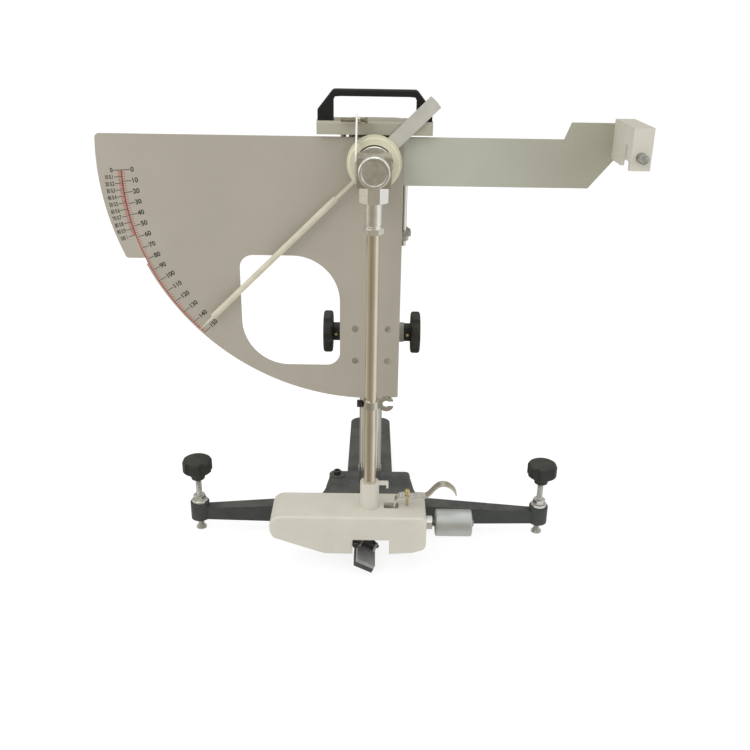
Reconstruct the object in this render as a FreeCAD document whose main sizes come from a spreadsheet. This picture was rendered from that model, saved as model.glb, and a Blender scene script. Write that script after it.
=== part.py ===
import FreeCAD
import Part
import Sketcher
import math
import os

# Pendulum skid resistance tester, built as separate bodies in one frame.
# X runs along the swing, Y runs back to the column, Z is up. The origin is on
# the floor straight below the spindle, in the plane that the pendulum swings in.

doc = FreeCAD.newDocument("PendulumTester")
sheet = doc.addObject("Spreadsheet::Sheet", "Dims")
values = {}
nodes = []
sheetRow = [0]


def dims(title, named):
    """Writes the named sizes that aren't on the sheet yet as one group; millimetres and degrees."""
    sheetRow[0] += 1
    sheet.set("A%d" % sheetRow[0], title)
    for alias, value in named.items():
        if alias in values or not isinstance(value, (int, float)):
            continue
        sheetRow[0] += 1
        sheet.set("A%d" % sheetRow[0], alias)
        sheet.set("B%d" % sheetRow[0], str(value))
        sheet.setAlias("B%d" % sheetRow[0], alias)
        values[alias] = float(value)


def val(alias):
    return values[alias]


def ex(text):
    """Turns a short rule such as "rodR + fit" into an expression on the sheet."""
    words = text.replace("(", " ( ").replace(")", " ) ").split()
    return " ".join("Dims." + w if w in values else w for w in words)


def calc(text):
    """The plain number that the same rule gives."""
    total = 0.0
    sign = 1.0
    for word in text.split():
        if word == "+":
            sign = 1.0
        elif word == "-":
            sign = -1.0
        else:
            total += sign * (values[word] if word in values else float(word))
    return total


# Bodies, sketches and features

def newBody(label):
    body = doc.addObject("PartDesign::Body", label)
    body.Label = label
    return body


def planeOf(body, role):
    for feature in body.Origin.OriginFeatures:
        if feature.Role == role:
            return feature
    raise ValueError(role)


def sketchOn(body, role, name, height=None, x=None, y=None):
    """A sketch on an origin plane, moved along its normal and in its plane by rules on the sheet."""
    sketch = body.newObject("Sketcher::SketchObject", name)
    sketch.AttachmentSupport = [(planeOf(body, role), "")]
    sketch.MapMode = "FlatFace"
    if height:
        sketch.setExpression("AttachmentOffset.Base.z", ex(height))
    if x:
        sketch.setExpression("AttachmentOffset.Base.x", ex(x))
    if y:
        sketch.setExpression("AttachmentOffset.Base.y", ex(y))
    return sketch


def vec(x, y):
    return FreeCAD.Vector(x, y, 0)


def outline(sketch, points):
    """A closed outline. A point of two numbers ends a line, one of four ends an arc through its first two."""
    start = points[0]
    here = vec(start[-2], start[-1])
    for step in points[1:] + [start]:
        there = vec(step[-2], step[-1])
        if len(step) == 4:
            sketch.addGeometry(Part.Arc(here, vec(step[0], step[1]), there), False)
        elif here.distanceToPoint(there) > 1e-6:
            sketch.addGeometry(Part.LineSegment(here, there), False)
        here = there


def rounded(corners):
    """Outline steps for a polygon of (x, y, radius) corners, each rounded by a smooth arc."""
    steps = []
    for k, (x, y, radius) in enumerate(corners):
        here = vec(x, y)
        if not radius:
            steps.append((x, y))
            continue
        before = (vec(*corners[k - 1][:2]) - here).normalize()
        after = (vec(*corners[(k + 1) % len(corners)][:2]) - here).normalize()
        half = before.getAngle(after) / 2
        inward = (before + after).normalize()
        centre = here + inward * (radius / math.sin(half))
        start = here + before * (radius / math.tan(half))
        end = here + after * (radius / math.tan(half))
        top = centre - inward * radius
        steps += [(start.x, start.y), (top.x, top.y, end.x, end.y)]
    return steps


def circle(sketch, x, y, radius):
    """A circle whose radius is a constraint bound to the sheet."""
    index = sketch.addGeometry(Part.Circle(vec(x, y), FreeCAD.Vector(0, 0, 1), calc(radius)), False)
    number = sketch.addConstraint(Sketcher.Constraint("Radius", index, calc(radius)))
    sketch.setExpression("Constraints[%d]" % number, ex(radius))


def box(sketch, x0, y0, x1, y1):
    outline(sketch, [(x0, y0), (x1, y0), (x1, y1), (x0, y1)])


def roundBox(sketch, x0, y0, x1, y1, r):
    c = r * (1 - math.sqrt(0.5))
    outline(sketch, [(x0 + r, y0), (x1 - r, y0), (x1 - c, y0 + c, x1, y0 + r), (x1, y1 - r),
                     (x1 - c, y1 - c, x1 - r, y1), (x0 + r, y1), (x0 + c, y1 - c, x0, y1 - r),
                     (x0, y0 + r), (x0 + c, y0 + c, x0 + r, y0)])


def dome(radius, low, high):
    """Outline step from (radius, low) over a round cap that crosses the axis square at height high."""
    rise = high - low
    ball = (radius ** 2 + rise ** 2) / (2 * rise)
    half = math.asin(radius / ball) / 2
    return (ball * math.sin(half), high - ball + ball * math.cos(half), 0, high)


def polygon(sketch, x, y, acrossFlats, sides, turn=0.0):
    reach = acrossFlats / 2 / math.cos(math.pi / sides)
    corners = []
    for k in range(sides):
        angle = math.radians(turn) + 2 * math.pi * k / sides
        corners.append((x + reach * math.cos(angle), y + reach * math.sin(angle)))
    outline(sketch, corners)


def feature(body, kind, sketch, length, both=False, back=False):
    made = body.newObject("PartDesign::" + kind, sketch.Name + kind)
    made.Profile = sketch
    if length:
        made.setExpression("Length", ex(length))
    else:
        made.Type = 1
    made.Midplane = both
    made.Reversed = back
    sketch.Visibility = False
    body.Tip = made
    doc.recompute()
    return made


def pad(body, sketch, length, both=False, back=False):
    return feature(body, "Pad", sketch, length, both, back)


def pocket(body, sketch, length=None, both=False, back=False):
    return feature(body, "Pocket", sketch, length, both, back)


def turn(body, sketch, kind="Revolution"):
    """Turns a profile about the vertical axis of its own sketch."""
    made = body.newObject("PartDesign::" + kind, sketch.Name + kind)
    made.Profile = sketch
    made.ReferenceAxis = (sketch, ["V_Axis"])
    made.Angle = 360
    sketch.Visibility = False
    body.Tip = made
    doc.recompute()
    return made


def polar(body, sketch, original, count):
    made = body.newObject("PartDesign::PolarPattern", original.Name + "Ring")
    made.Originals = [original]
    made.Axis = (sketch, ["N_Axis"])
    made.Angle = 360
    made.setExpression("Occurrences", ex(count))
    body.Tip = made
    doc.recompute()
    return made


def dress(body, kind, size, pick):
    """Rounds or bevels the edges of the body for which pick(edge) is true."""
    tip = body.Tip
    names = []
    for k, edge in enumerate(tip.Shape.Edges):
        if pick(edge):
            names.append("Edge%d" % (k + 1))
    made = body.newObject("PartDesign::" + kind, body.Name + kind)
    made.Base = (tip, names)
    made.setExpression("Radius" if kind == "Fillet" else "Size", ex(size))
    body.Tip = made
    doc.recompute()
    return made


def middle(edge):
    return edge.valueAt((edge.FirstParameter + edge.LastParameter) / 2)


def circleAt(edge, radius, height):
    """True for a full round edge about the local Z axis with this radius and height."""
    if edge.Curve.TypeId != "Part::GeomCircle":
        return False
    return abs(edge.Curve.Radius - radius) < 0.01 and abs(middle(edge).z - height) < 0.01


def put(obj, x, y, z, axis=None, angle=0.0):
    """Places a body by rules on the sheet; axis and angle turn it first."""
    if axis:
        obj.Placement = FreeCAD.Placement(FreeCAD.Vector(), FreeCAD.Rotation(FreeCAD.Vector(*axis), angle))
    obj.setExpression("Placement.Base.x", ex(x))
    obj.setExpression("Placement.Base.y", ex(y))
    obj.setExpression("Placement.Base.z", ex(z))


# Turns that lay a piece made along local Z along another axis
alongX = ((0, 1, 0), 90)
alongMinusX = ((0, 1, 0), -90)
alongMinusY = ((1, 0, 0), 90)
alongY = ((1, 0, 0), -90)


def node(obj, label):
    obj.Label = label
    nodes.append(obj)
    return obj


def group(label, members):
    made = doc.addObject("Part::Compound", label)
    made.Links = members
    return node(made, label)


def turned(label, profile, place, along=None):
    """A turned piece: profile of (radius, height) points about local Z, then placed."""
    body = newBody(label)
    sketch = sketchOn(body, "XZ_Plane", label + "Profile")
    outline(sketch, profile)
    turn(body, sketch)
    put(body, place[0], place[1], place[2], *(along or (None, 0.0)))
    return body


def cylinder(label, radius, height, place, along=None, bore=None, bevel=None):
    """A plain bar or tube bound to the sheet."""
    body = newBody(label)
    sketch = sketchOn(body, "XY_Plane", label + "Round")
    circle(sketch, 0, 0, radius)
    if bore:
        circle(sketch, 0, 0, bore)
    pad(body, sketch, height)
    if bevel:
        r = calc(radius)
        h = calc(height)
        dress(body, "Chamfer", bevel, lambda e: circleAt(e, r, 0) or circleAt(e, r, h))
    put(body, place[0], place[1], place[2], *(along or (None, 0.0)))
    return body


def nut(label, acrossFlats, height, bore, place, along=None, sides=6, rotate=0.0):
    """A nut with turned-down corners and an open bore."""
    body = newBody(label)
    sketch = sketchOn(body, "XY_Plane", label + "Flats")
    polygon(sketch, 0, 0, calc(acrossFlats), sides, rotate)
    circle(sketch, 0, 0, bore)
    pad(body, sketch, height)
    flat = calc(acrossFlats) / 2
    corner = flat / math.cos(math.pi / sides)
    tall = calc(height)
    drop = (corner - flat) * math.tan(math.radians(30))
    for k, (z0, z1) in enumerate(((0, drop), (tall, tall - drop))):
        cut = sketchOn(body, "XZ_Plane", "%sCrown%d" % (label, k))
        outline(cut, [(flat, z0), (corner + 1, z0), (corner + 1, z1), (corner, z1)])
        turn(body, cut, "Groove")
    put(body, place[0], place[1], place[2], *(along or (None, 0.0)))
    return body


def starKnob(label, radius, thickness, lobes, scoopRadius, scoopReach, place, along=None):
    """A moulded knob with scoops round its rim and a boss below."""
    body = newBody(label)
    disc = sketchOn(body, "XY_Plane", label + "Disc")
    circle(disc, 0, 0, radius)
    pad(body, disc, thickness)
    r = calc(radius)
    h = calc(thickness)
    dress(body, "Fillet", "knobEdge", lambda e: circleAt(e, r, 0) or circleAt(e, r, h))
    scoop = sketchOn(body, "XY_Plane", label + "Scoop", "- 1")
    circle(scoop, calc(scoopReach), 0, scoopRadius)
    cut = pocket(body, scoop, back=True)
    polar(body, scoop, cut, lobes)
    put(body, place[0], place[1], place[2], *(along or (None, 0.0)))
    return body


pivotZ = 516
fit = 0.05
slack = 0.3
knobEdge = 2.5
smallBevel = 0.6
dims("general", globals())

floorGap = 17
hubTop = 70
hubHalf = 57
hubFront = 50
hubBack = 118
flareRun = 18
barTopHub = 45
barTopEnd = 34
barY = 76
barHalfHub = 12
barHalfEnd = 7
screwX = 236
legHalf = 33
legTopHub = 46
legTopEnd = 40
legEnd = 352
legCorner = 18
rearScrewY = 328
bossR = 13
bossTop = 42
rearBossR = 19
columnY = 92
columnR = 15
socketFloor = 22
earX = -46
earY = 106
earR = 11
earTop = 71
coreDepth = 12
coreWall = 6
studR = 4
levelY = 158
levelSeatR = 20
levelSeatTop = 48
dims("base casting", globals())


def baseCasting():
    """The T-shaped casting: cross bar, hub and rear leg, with cores open from below."""
    body = newBody("base_casting")
    plan = sketchOn(body, "XY_Plane", "planOutline", "floorGap")
    hub = val("hubHalf")
    front = val("hubFront")
    back = val("hubBack")
    y = val("barY")
    a = val("barHalfHub")
    e = val("barHalfEnd")
    sx = val("screwX")
    run = val("flareRun")
    leg = val("legHalf")
    end = val("legEnd")
    c = val("legCorner")
    bend = c * (1 - math.sqrt(0.5))
    right = [(hub - 6, front), (hub + 4, front + 3, hub + run, y - a), (sx, y - e),
             (sx + e, y, sx, y + e), (hub + run, y + a), (hub + 4, back - 14, hub, back - 4),
             (hub - 3, back + 4, hub - 10, back + 4), (leg + 4, back + 8, leg, back + 20),
             (leg - 1, end - c), (leg - 1 - bend, end - bend, leg - 1 - c, end)]
    left = []
    for k in range(len(right) - 1, -1, -1):
        x0, y0 = right[k][-2:]
        step = (-x0, y0)
        if k + 1 < len(right) and len(right[k + 1]) == 4:
            step = (-right[k + 1][0], right[k + 1][1], -x0, y0)
        left.append(step)
    outline(plan, right + left)
    pad(body, plan, "hubTop - floorGap")
    # The tops slope down from the hub in hollow flares
    sides = sketchOn(body, "XZ_Plane", "barSlope")
    top = val("hubTop")
    far = sx + e + 5
    for s in (1, -1):
        bar = val("barTopHub")
        outline(sides, [(s * (hub - 8), top), (s * (hub - 4), top - 1, s * (hub - 1), top - 5),
                        (s * (hub + 4), bar + 9), (s * (hub + 7), bar + 3, s * (hub + run), bar),
                        (s * far, val("barTopEnd")), (s * far, top + 5), (s * (hub - 8), top + 5)])
    pocket(body, sides, "legEnd", back=False)
    cutBack = sketchOn(body, "YZ_Plane", "legSlope")
    outline(cutBack, [(back - 2, top), (back + 6, top - 8, back + 24, val("legTopHub")),
                      (end + 5, val("legTopEnd")), (end + 5, top + 5), (back - 2, top + 5)])
    pocket(body, cutBack, "screwX + screwX + 60", both=True)
    bosses = sketchOn(body, "XY_Plane", "screwBosses", "floorGap")
    circle(bosses, sx, y, "bossR")
    circle(bosses, -sx, y, "bossR")
    pad(body, bosses, "bossTop - floorGap")
    rear = sketchOn(body, "XY_Plane", "rearBoss", "floorGap")
    circle(rear, 0, val("rearScrewY"), "rearBossR")
    pad(body, rear, "bossTop - floorGap")
    seat = sketchOn(body, "XY_Plane", "levelSeat", "floorGap")
    circle(seat, 0, val("levelY"), "levelSeatR")
    pad(body, seat, "levelSeatTop - floorGap")
    ear = sketchOn(body, "XY_Plane", "clampEar", "floorGap")
    circle(ear, val("earX"), val("earY"), "earR")
    pad(body, ear, "earTop - floorGap")
    # Core under the leg
    wall = val("coreWall")
    core = sketchOn(body, "XY_Plane", "lowerCore", "floorGap")
    roundBox(core, -leg + wall + 1, back + 24, leg - wall - 1, val("rearScrewY") - 26, 8)
    pocket(body, core, "coreDepth", back=True)
    holes = sketchOn(body, "XY_Plane", "screwHoles")
    for x, hy in ((sx, y), (-sx, y), (0, val("rearScrewY"))):
        circle(holes, x, hy, "studR + fit")
    pocket(body, holes, back=True)
    socket = sketchOn(body, "XY_Plane", "columnSocket", "socketFloor")
    circle(socket, 0, val("columnY"), "columnR + fit")
    pocket(body, socket, back=True)
    earHole = sketchOn(body, "XY_Plane", "earHole", "earTop - 16")
    circle(earHole, val("earX"), val("earY"), "earScrewR + fit")
    pocket(body, earHole, back=True)
    node(body, "base_casting")


columnBoreR = 11.5
columnTop = 502
slotHalf = 5
rackTopZ = 345
rackFootZ = 232
toothModule = 1.5
rackPitchY = 107
toothLean = 20
backlash = 1.0
toothFace = 9.4
pinionZ = 282
pinionTeeth = 12
rackBedY = 103.5
earScrewR = 3
earScrewHeadR = 5
earScrewHead = 6
earScrewLength = 15
dims("column", globals())


def column():
    """The upright tube, with a flat-bottomed slot for the rack down its back."""
    body = newBody("column")
    ring = sketchOn(body, "XY_Plane", "columnRing", "socketFloor", None, "columnY")
    circle(ring, 0, 0, "columnR")
    circle(ring, 0, 0, "columnBoreR")
    pad(body, ring, "columnTop - socketFloor")
    slot = sketchOn(body, "XY_Plane", "rackSlot", "rackFootZ")
    half = val("slotHalf")
    box(slot, -half, val("rackBedY"), half, val("columnY") + val("columnR") + 2)
    pocket(body, slot, "rackTopZ - rackFootZ", back=True)
    node(body, "column")


def toothPitch():
    return math.pi * val("toothModule")


def columnRack():
    """The rack strip: straight-sided teeth, one gap level with the pinion."""
    body = newBody("column_rack")
    m = val("toothModule")
    pitch = toothPitch()
    lean = math.tan(math.radians(val("toothLean")))
    root = val("rackPitchY") - 1.2 * m
    tip = val("rackPitchY") + m
    half = (pitch - val("backlash")) / 4
    side = sketchOn(body, "YZ_Plane", "rackTeeth")
    points = [(val("rackBedY"), val("rackFootZ"))]
    count = int((val("rackTopZ") - val("rackFootZ")) / pitch) - 1
    first = val("pinionZ") - pitch * (int((val("pinionZ") - val("rackFootZ")) / pitch) - 0.5)
    points.append((root, val("rackFootZ")))
    for k in range(count):
        z = first + k * pitch
        low = half + 1.2 * m * lean
        high = half - m * lean
        points += [(root, z - low), (tip, z - high), (tip, z + high), (root, z + low)]
    points += [(root, val("rackTopZ")), (val("rackBedY"), val("rackTopZ"))]
    outline(side, points)
    pad(body, side, "slotHalf + slotHalf - fit", both=True)
    node(body, "column_rack")


def earScrew():
    """Socket cap screw in the ear beside the column."""
    r = val("earScrewR")
    h = val("earScrewHead")
    big = val("earScrewHeadR")
    body = turned("ear_screw", [(0, -val("earScrewLength")), (r, -val("earScrewLength")), (r, 0), (big, 0),
                                (big, h - 0.5), (big - 0.5, h), (0, h)], ("earX", "earY", "earTop"))
    hexagon = sketchOn(body, "XY_Plane", "earScrewSocket", "earScrewHead - 3")
    polygon(hexagon, 0, 0, r * 1.6, 6)
    pocket(body, hexagon, back=True)
    node(body, "ear_screw")


levelR = 17
levelHeight = 9
levelCup = 13.5
levelFloor = 3
lensEdge = 6.5
lensTop = 8.2
dims("level", globals())


def level():
    """Round bubble level: a turned cup and its domed glass."""
    r = val("levelR")
    cup = val("levelCup")
    h = val("levelHeight")
    profile = [(0, 0), (r, 0), (r, h - 1), (r - 1, h), (cup, h), (cup, val("levelFloor")),
               (0, val("levelFloor"))]
    node(turned("level_housing", profile, ("0", "levelY", "levelSeatTop")), "level_housing")
    edge = cup - val("fit")
    lens = [(0, val("levelFloor")), (edge, val("levelFloor")), (edge, val("lensEdge")),
            dome(edge, val("lensEdge"), val("lensTop"))]
    node(turned("level_glass", lens, ("0", "levelY", "levelSeatTop")), "level_glass")


bushR = 11
bushHeight = 4
lockNutFlats = 15
lockNutHeight = 7
padR = 7
padHeight = 6
levelKnobR = 20
levelKnobZ = 79
levelKnobHeight = 34
levelLobes = 6
levelScoopR = 6
levelScoopReach = 23.4
stemR = 9
dims("levelling screws", globals())


def levelKnob(label, x, y):
    """Moulded knob on a levelling screw: tapered stem, skirt with scoops and a domed top."""
    r = val("levelKnobR")
    h = val("levelKnobHeight")
    s = val("stemR")
    body = newBody(label)
    section = sketchOn(body, "XZ_Plane", label + "Section")
    outline(section, [(calc("studR + fit"), 0), (s, 0), (s + 1, 5), (s + 4, 9, r - 2, 11), (r, 13), (r, 26),
                      (r - 1.5, 28.5), dome(r - 1.5, 28.5, h), (0, h - 14), (calc("studR + fit"), h - 14)])
    turn(body, section)
    scoop = sketchOn(body, "XY_Plane", label + "Scoop", "- 1")
    circle(scoop, val("levelScoopReach"), 0, "levelScoopR")
    cut = pocket(body, scoop, back=True)
    polar(body, scoop, cut, "levelLobes")
    put(body, x, y, "levelKnobZ")
    return node(body, label)


def levellingScrews():
    spots = {"left": ("0 - screwX", "barY"), "right": ("screwX", "barY"), "rear": ("0", "rearScrewY")}
    bushes = []
    locks = []
    for side, (x, y) in spots.items():
        bushes.append(cylinder("bush_" + side, "bushR", "bushHeight", (x, y, "bossTop"), None,
                               "studR + fit", "smallBevel"))
        locks.append(nut("lock_nut_" + side, "lockNutFlats", "lockNutHeight", "studR + fit",
                         (x, y, "bossTop + bushHeight")))
        tall = calc("levelKnobZ + levelKnobHeight - 14 - fit")
        p = val("padR")
        q = val("studR")
        stud = [(0, 0), (p, 0), (p, 2), (q, val("padHeight")), (q, tall - 1), (q - 1, tall), (0, tall)]
        node(turned("stud_" + side, stud, (x, y, "0")), "level_stud_" + side)
        levelKnob("level_knob_" + side, x, y)
    group("level_bushes", bushes)
    group("level_lock_nuts", locks)


plateFront = 55
plateThick = 2.5
armThick = 6
blockHalf = 27
blockFoot = 252
blockTop = 318
blockBack = 130
neckHalf = 23
topHalf = 30
topFoot = 474
topBack = 114
shelfZ = 560
shelfSheet = 3
bossOut = 42
bossOuterR = 13
pinionGap = 12
pinionHalf = 9
shaftR = 5
clampZ = 500
clampBoreR = 5
clampBossR = 12
clampBossOut = 122
headBoreTop = 530
dims("head carriage", globals())


def headCarriage():
    """The casting that slides on the column and carries everything above the base."""
    body = newBody("head_carriage")
    face = calc("plateFront + plateThick")
    deep = calc("plateFront + plateThick + armThick")
    low = sketchOn(body, "XY_Plane", "lowerBlock", "blockFoot")
    h = val("blockHalf")
    outline(low, [(-h, face), (h, face), (h, val("blockBack") - 12),
                  (h - 4, val("blockBack") - 3, h - 12, val("blockBack")), (12 - h, val("blockBack")),
                  (4 - h, val("blockBack") - 3, -h, val("blockBack") - 12)])
    pad(body, low, "blockTop - blockFoot")
    neck = sketchOn(body, "XY_Plane", "neck", "blockFoot")
    n = val("neckHalf")
    y = val("columnY")
    outline(neck, [(-n, deep + 2), (n, deep + 2), (n, y), (0, y + n, -n, y)])
    pad(body, neck, "shelfZ - shelfSheet - blockFoot")
    top = sketchOn(body, "XY_Plane", "upperBlock", "topFoot")
    t = val("topHalf")
    roundBox(top, -t, deep, t, val("topBack"), 7)
    pad(body, top, "shelfZ - shelfSheet - topFoot")
    # Bearing bosses for the pinion shaft on both sides
    side = sketchOn(body, "YZ_Plane", "shaftBosses")
    circle(side, calc("rackPitchY + 9"), val("pinionZ"), "bossOuterR")
    pad(body, side, "bossOut + bossOut", both=True)
    clamp = sketchOn(body, "XZ_Plane", "clampBoss", "0 - clampBossOut")
    circle(clamp, 0, val("clampZ"), "clampBossR")
    pad(body, clamp, "clampBossOut - columnY", back=False)
    bore = sketchOn(body, "XY_Plane", "columnBore", "blockFoot - 1", None, "columnY")
    circle(bore, 0, 0, "columnR + fit")
    pocket(body, bore, "headBoreTop - blockFoot", back=True)
    across = sketchOn(body, "YZ_Plane", "shaftBore")
    circle(across, calc("rackPitchY + 9"), val("pinionZ"), "shaftR + fit")
    pocket(body, across, "bossOut + bossOut + 4", both=True)
    gap = sketchOn(body, "YZ_Plane", "pinionRoom")
    circle(gap, calc("rackPitchY + 9"), val("pinionZ"), "pinionGap")
    pocket(body, gap, "pinionHalf + pinionHalf", both=True)
    taps = sketchOn(body, "XZ_Plane", "plateTaps", "0 - plateFront")
    for sx in (-val("screwColumn"), val("screwColumn")):
        for sz in (val("screwRowTop"), val("screwRowFoot")):
            circle(taps, sx, sz, "plateScrewR + fit")
    pocket(body, taps, "plateThick + plateScrewDeep + 1", back=False)
    # Lugs that the tie rods pass through, each with a rib above
    for name, k in (("Left", -1), ("Right", 1)):
        lug = sketchOn(body, "XY_Plane", "lug" + name, "lugZ")
        ty = val("tieY")
        far = val("tieX") + 9
        inner = n - 4
        outline(lug, [(k * inner, ty - 8), (k * (far - 4), ty - 8),
                      (k * (far - 1), ty - 7, k * far, ty - 4), (k * far, ty + 8), (k * inner, ty + 8)])
        pad(body, lug, "lugThick")
        rib = sketchOn(body, "XZ_Plane", "lugRib" + name, "0 - tieY - 8")
        z = val("lugZ")
        outline(rib, [(k * inner, z), (k * far, z), (k * far, z + 5), (k * (n + 3), z + 20),
                      (k * inner, z + 20)])
        pad(body, rib, "3", back=False)
    ties = sketchOn(body, "XY_Plane", "lugHoles", "lugZ - 1")
    for k in (-1, 1):
        circle(ties, k * val("tieX"), val("tieY"), "tieR + fit")
    pocket(body, ties, "lugThick + 24", back=True)
    # Room for the rack between the column and the casting
    race = sketchOn(body, "XY_Plane", "rackRace", "blockFoot - 1")
    roundBox(race, -7, y, 7, calc("rackPitchY + 3"), 1)
    pocket(body, race, "topFoot - blockFoot", back=True)
    hole = sketchOn(body, "XZ_Plane", "clampHole", "0 - clampBossOut - 1")
    circle(hole, 0, val("clampZ"), "clampBoreR + fit")
    pocket(body, hole, "clampBossOut - columnY", back=True)
    spindle = sketchOn(body, "XZ_Plane", "housingSeat", "0 - plateFront")
    circle(spindle, 0, val("pivotZ"), "housingR + fit")
    pocket(body, spindle, "housingBack - plateFront", back=False)
    node(body, "head_carriage")


housingR = 19
housingBack = 73
noseR = 13
noseFront = 30
bearingWide = 9
spindleR = 6
discR = 20.5
discFront = 18
discThick = 10.5
dims("spindle", globals())


def spindleHousing():
    """Bearing housing: flange in the casting and a nose that the pointer turns on."""
    front = val("noseFront")
    back = val("housingBack")
    step = calc("plateFront + plateThick")
    r = val("housingR")
    b = calc("spindleR + fit")
    n = val("noseR")
    relief = b + 2
    wide = val("bearingWide")
    profile = [(b, front), (n - 0.6, front), (n, front + 0.6), (n, step), (r, step), (r, back),
               (b, back), (b, back - wide), (relief, back - wide - 2), (relief, front + wide + 2),
               (b, front + wide)]
    node(turned("spindle_housing", profile, ("0", "0", "pivotZ"), alongY), "spindle_housing")


scaleR = 322
lowerR = 303
plateTop = 541.5
plateRight = 34.5
stepAngle = 158
plateHoleR = 13.3
windowLeft = -162
windowRight = -40
windowTop = 401
windowFoot = 258
windowSmall = 17
windowLarge = 58
screwColumn = 20.5
screwRowTop = 308
screwRowFoot = 265
plateScrewR = 2.2
plateScrewHeadR = 4.3
plateScrewDeep = 12
slotWide = 0.9
dims("scale plate", globals())


def scalePlate():
    """The thin printed plate: concentric arcs on its left and below, and the round-cornered window."""
    body = newBody("scale_plate")
    front = sketchOn(body, "XZ_Plane", "plateOutline", "0 - plateFront")
    z = val("pivotZ")
    big = val("scaleR")
    low = val("lowerR")
    top = val("plateTop")
    right = val("plateRight")
    leave = math.radians(val("stepAngle"))
    stepZ = z - big * math.sin(math.pi - leave)
    stepX = -big * math.cos(math.pi - leave)
    topX = -math.sqrt(big ** 2 - (top - z) ** 2)
    midA = math.radians(170)
    lowStartX = -math.sqrt(low ** 2 - (stepZ - z - 8) ** 2)
    lowMid = math.radians(225)
    footX = right
    footZ = z - math.sqrt(low ** 2 - right ** 2)
    r = 4
    outline(front, [(topX + 5, top), (right, top), (footX, footZ),
                    (low * math.cos(lowMid), z + low * math.sin(lowMid), lowStartX, stepZ - 8),
                    (lowStartX + 1.5, stepZ - 1.5, lowStartX - r, stepZ),
                    (stepX + 4, stepZ), (stepX + 1, stepZ + 1, stepX - 0.6, stepZ + 4),
                    (big * math.cos(midA), z - big * math.sin(midA), topX, top - 5),
                    (topX + 1.5, top - 1.5, topX + 5, top)])
    left = val("windowLeft")
    wr = val("windowRight")
    wt = val("windowTop")
    wf = val("windowFoot")
    s = val("windowSmall")
    g = val("windowLarge")
    cs = s * (1 - math.sqrt(0.5))
    cg = g * (1 - math.sqrt(0.5))
    outline(front, [(left + s, wt), (wr - g, wt), (wr - cg, wt - cg, wr, wt - g), (wr, wf + s),
                    (wr - cs, wf + cs, wr - s, wf), (left + g, wf), (left + cg, wf + cg, left, wf + g),
                    (left, wt - s), (left + cs, wt - cs, left + s, wt)])
    circle(front, 0, z, "plateHoleR")
    col = val("screwColumn")
    for sx in (-col, col):
        for sz in (val("screwRowTop"), val("screwRowFoot")):
            circle(front, sx, sz, "plateScrewR + fit")
    pad(body, front, "plateThick", back=True)
    sinks = sketchOn(body, "XZ_Plane", "countersinks", "0 - plateFront")
    for sx in (-col, col):
        for sz in (val("screwRowTop"), val("screwRowFoot")):
            circle(sinks, sx, sz, "plateScrewHeadR + fit")
    pocket(body, sinks, "plateThick - 0.8", back=False)
    node(body, "scale_plate")
    screws = []
    spots = [(x, z) for x in ("0 - screwColumn", "screwColumn") for z in ("screwRowTop", "screwRowFoot")]
    for k, (sx, sz) in enumerate(spots):
        head = val("plateScrewHeadR")
        shank = val("plateScrewR")
        deep = val("plateScrewDeep")
        tall = calc("plateThick - 0.8")
        screw = turned("plate_screw_%d" % k, [(0, -deep), (shank, -deep), (shank, 0), (head, 0),
                                              (head, tall - 0.4), dome(head, tall - 0.4, tall + 0.3)],
                       (sx, "plateFront + plateThick - 0.8", sz), alongMinusY)
        cross = sketchOn(screw, "XY_Plane", "cross%d" % k, "plateThick - 1.6")
        w = val("slotWide") / 2
        reach = head * 0.6
        outline(cross, [(-reach, -w), (-w, -w), (-w, -reach), (w, -reach), (w, -w), (reach, -w),
                        (reach, w), (w, w), (w, reach), (-w, reach), (-w, w), (-reach, w)])
        pocket(screw, cross, back=True)
        screws.append(screw)
    group("plate_screws", screws)


armLeft = -28
armFoot = 486.5
armStepX = 219
armTopEnd = 560.5
armEnd = 294
armCutX = 250.5
armCutTop = 521
armHoleR = 19.2
boxX = 285
boxHalf = 11
boxTop = 566
boxFoot = 521
boxFront = -22
boxWall = 4
notchHalf = 15
notchTop = 530
notchTopFar = 526
slotHalfY = 3.2
slotTop = 546
buttonR = 5.5
buttonZ = 535
buttonFront = -34
pinR = 4.5
neckR = 3.4
stemR2 = 3
forkHalf = 2
buttonTravel = 6
dims("release arm", globals())


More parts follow.
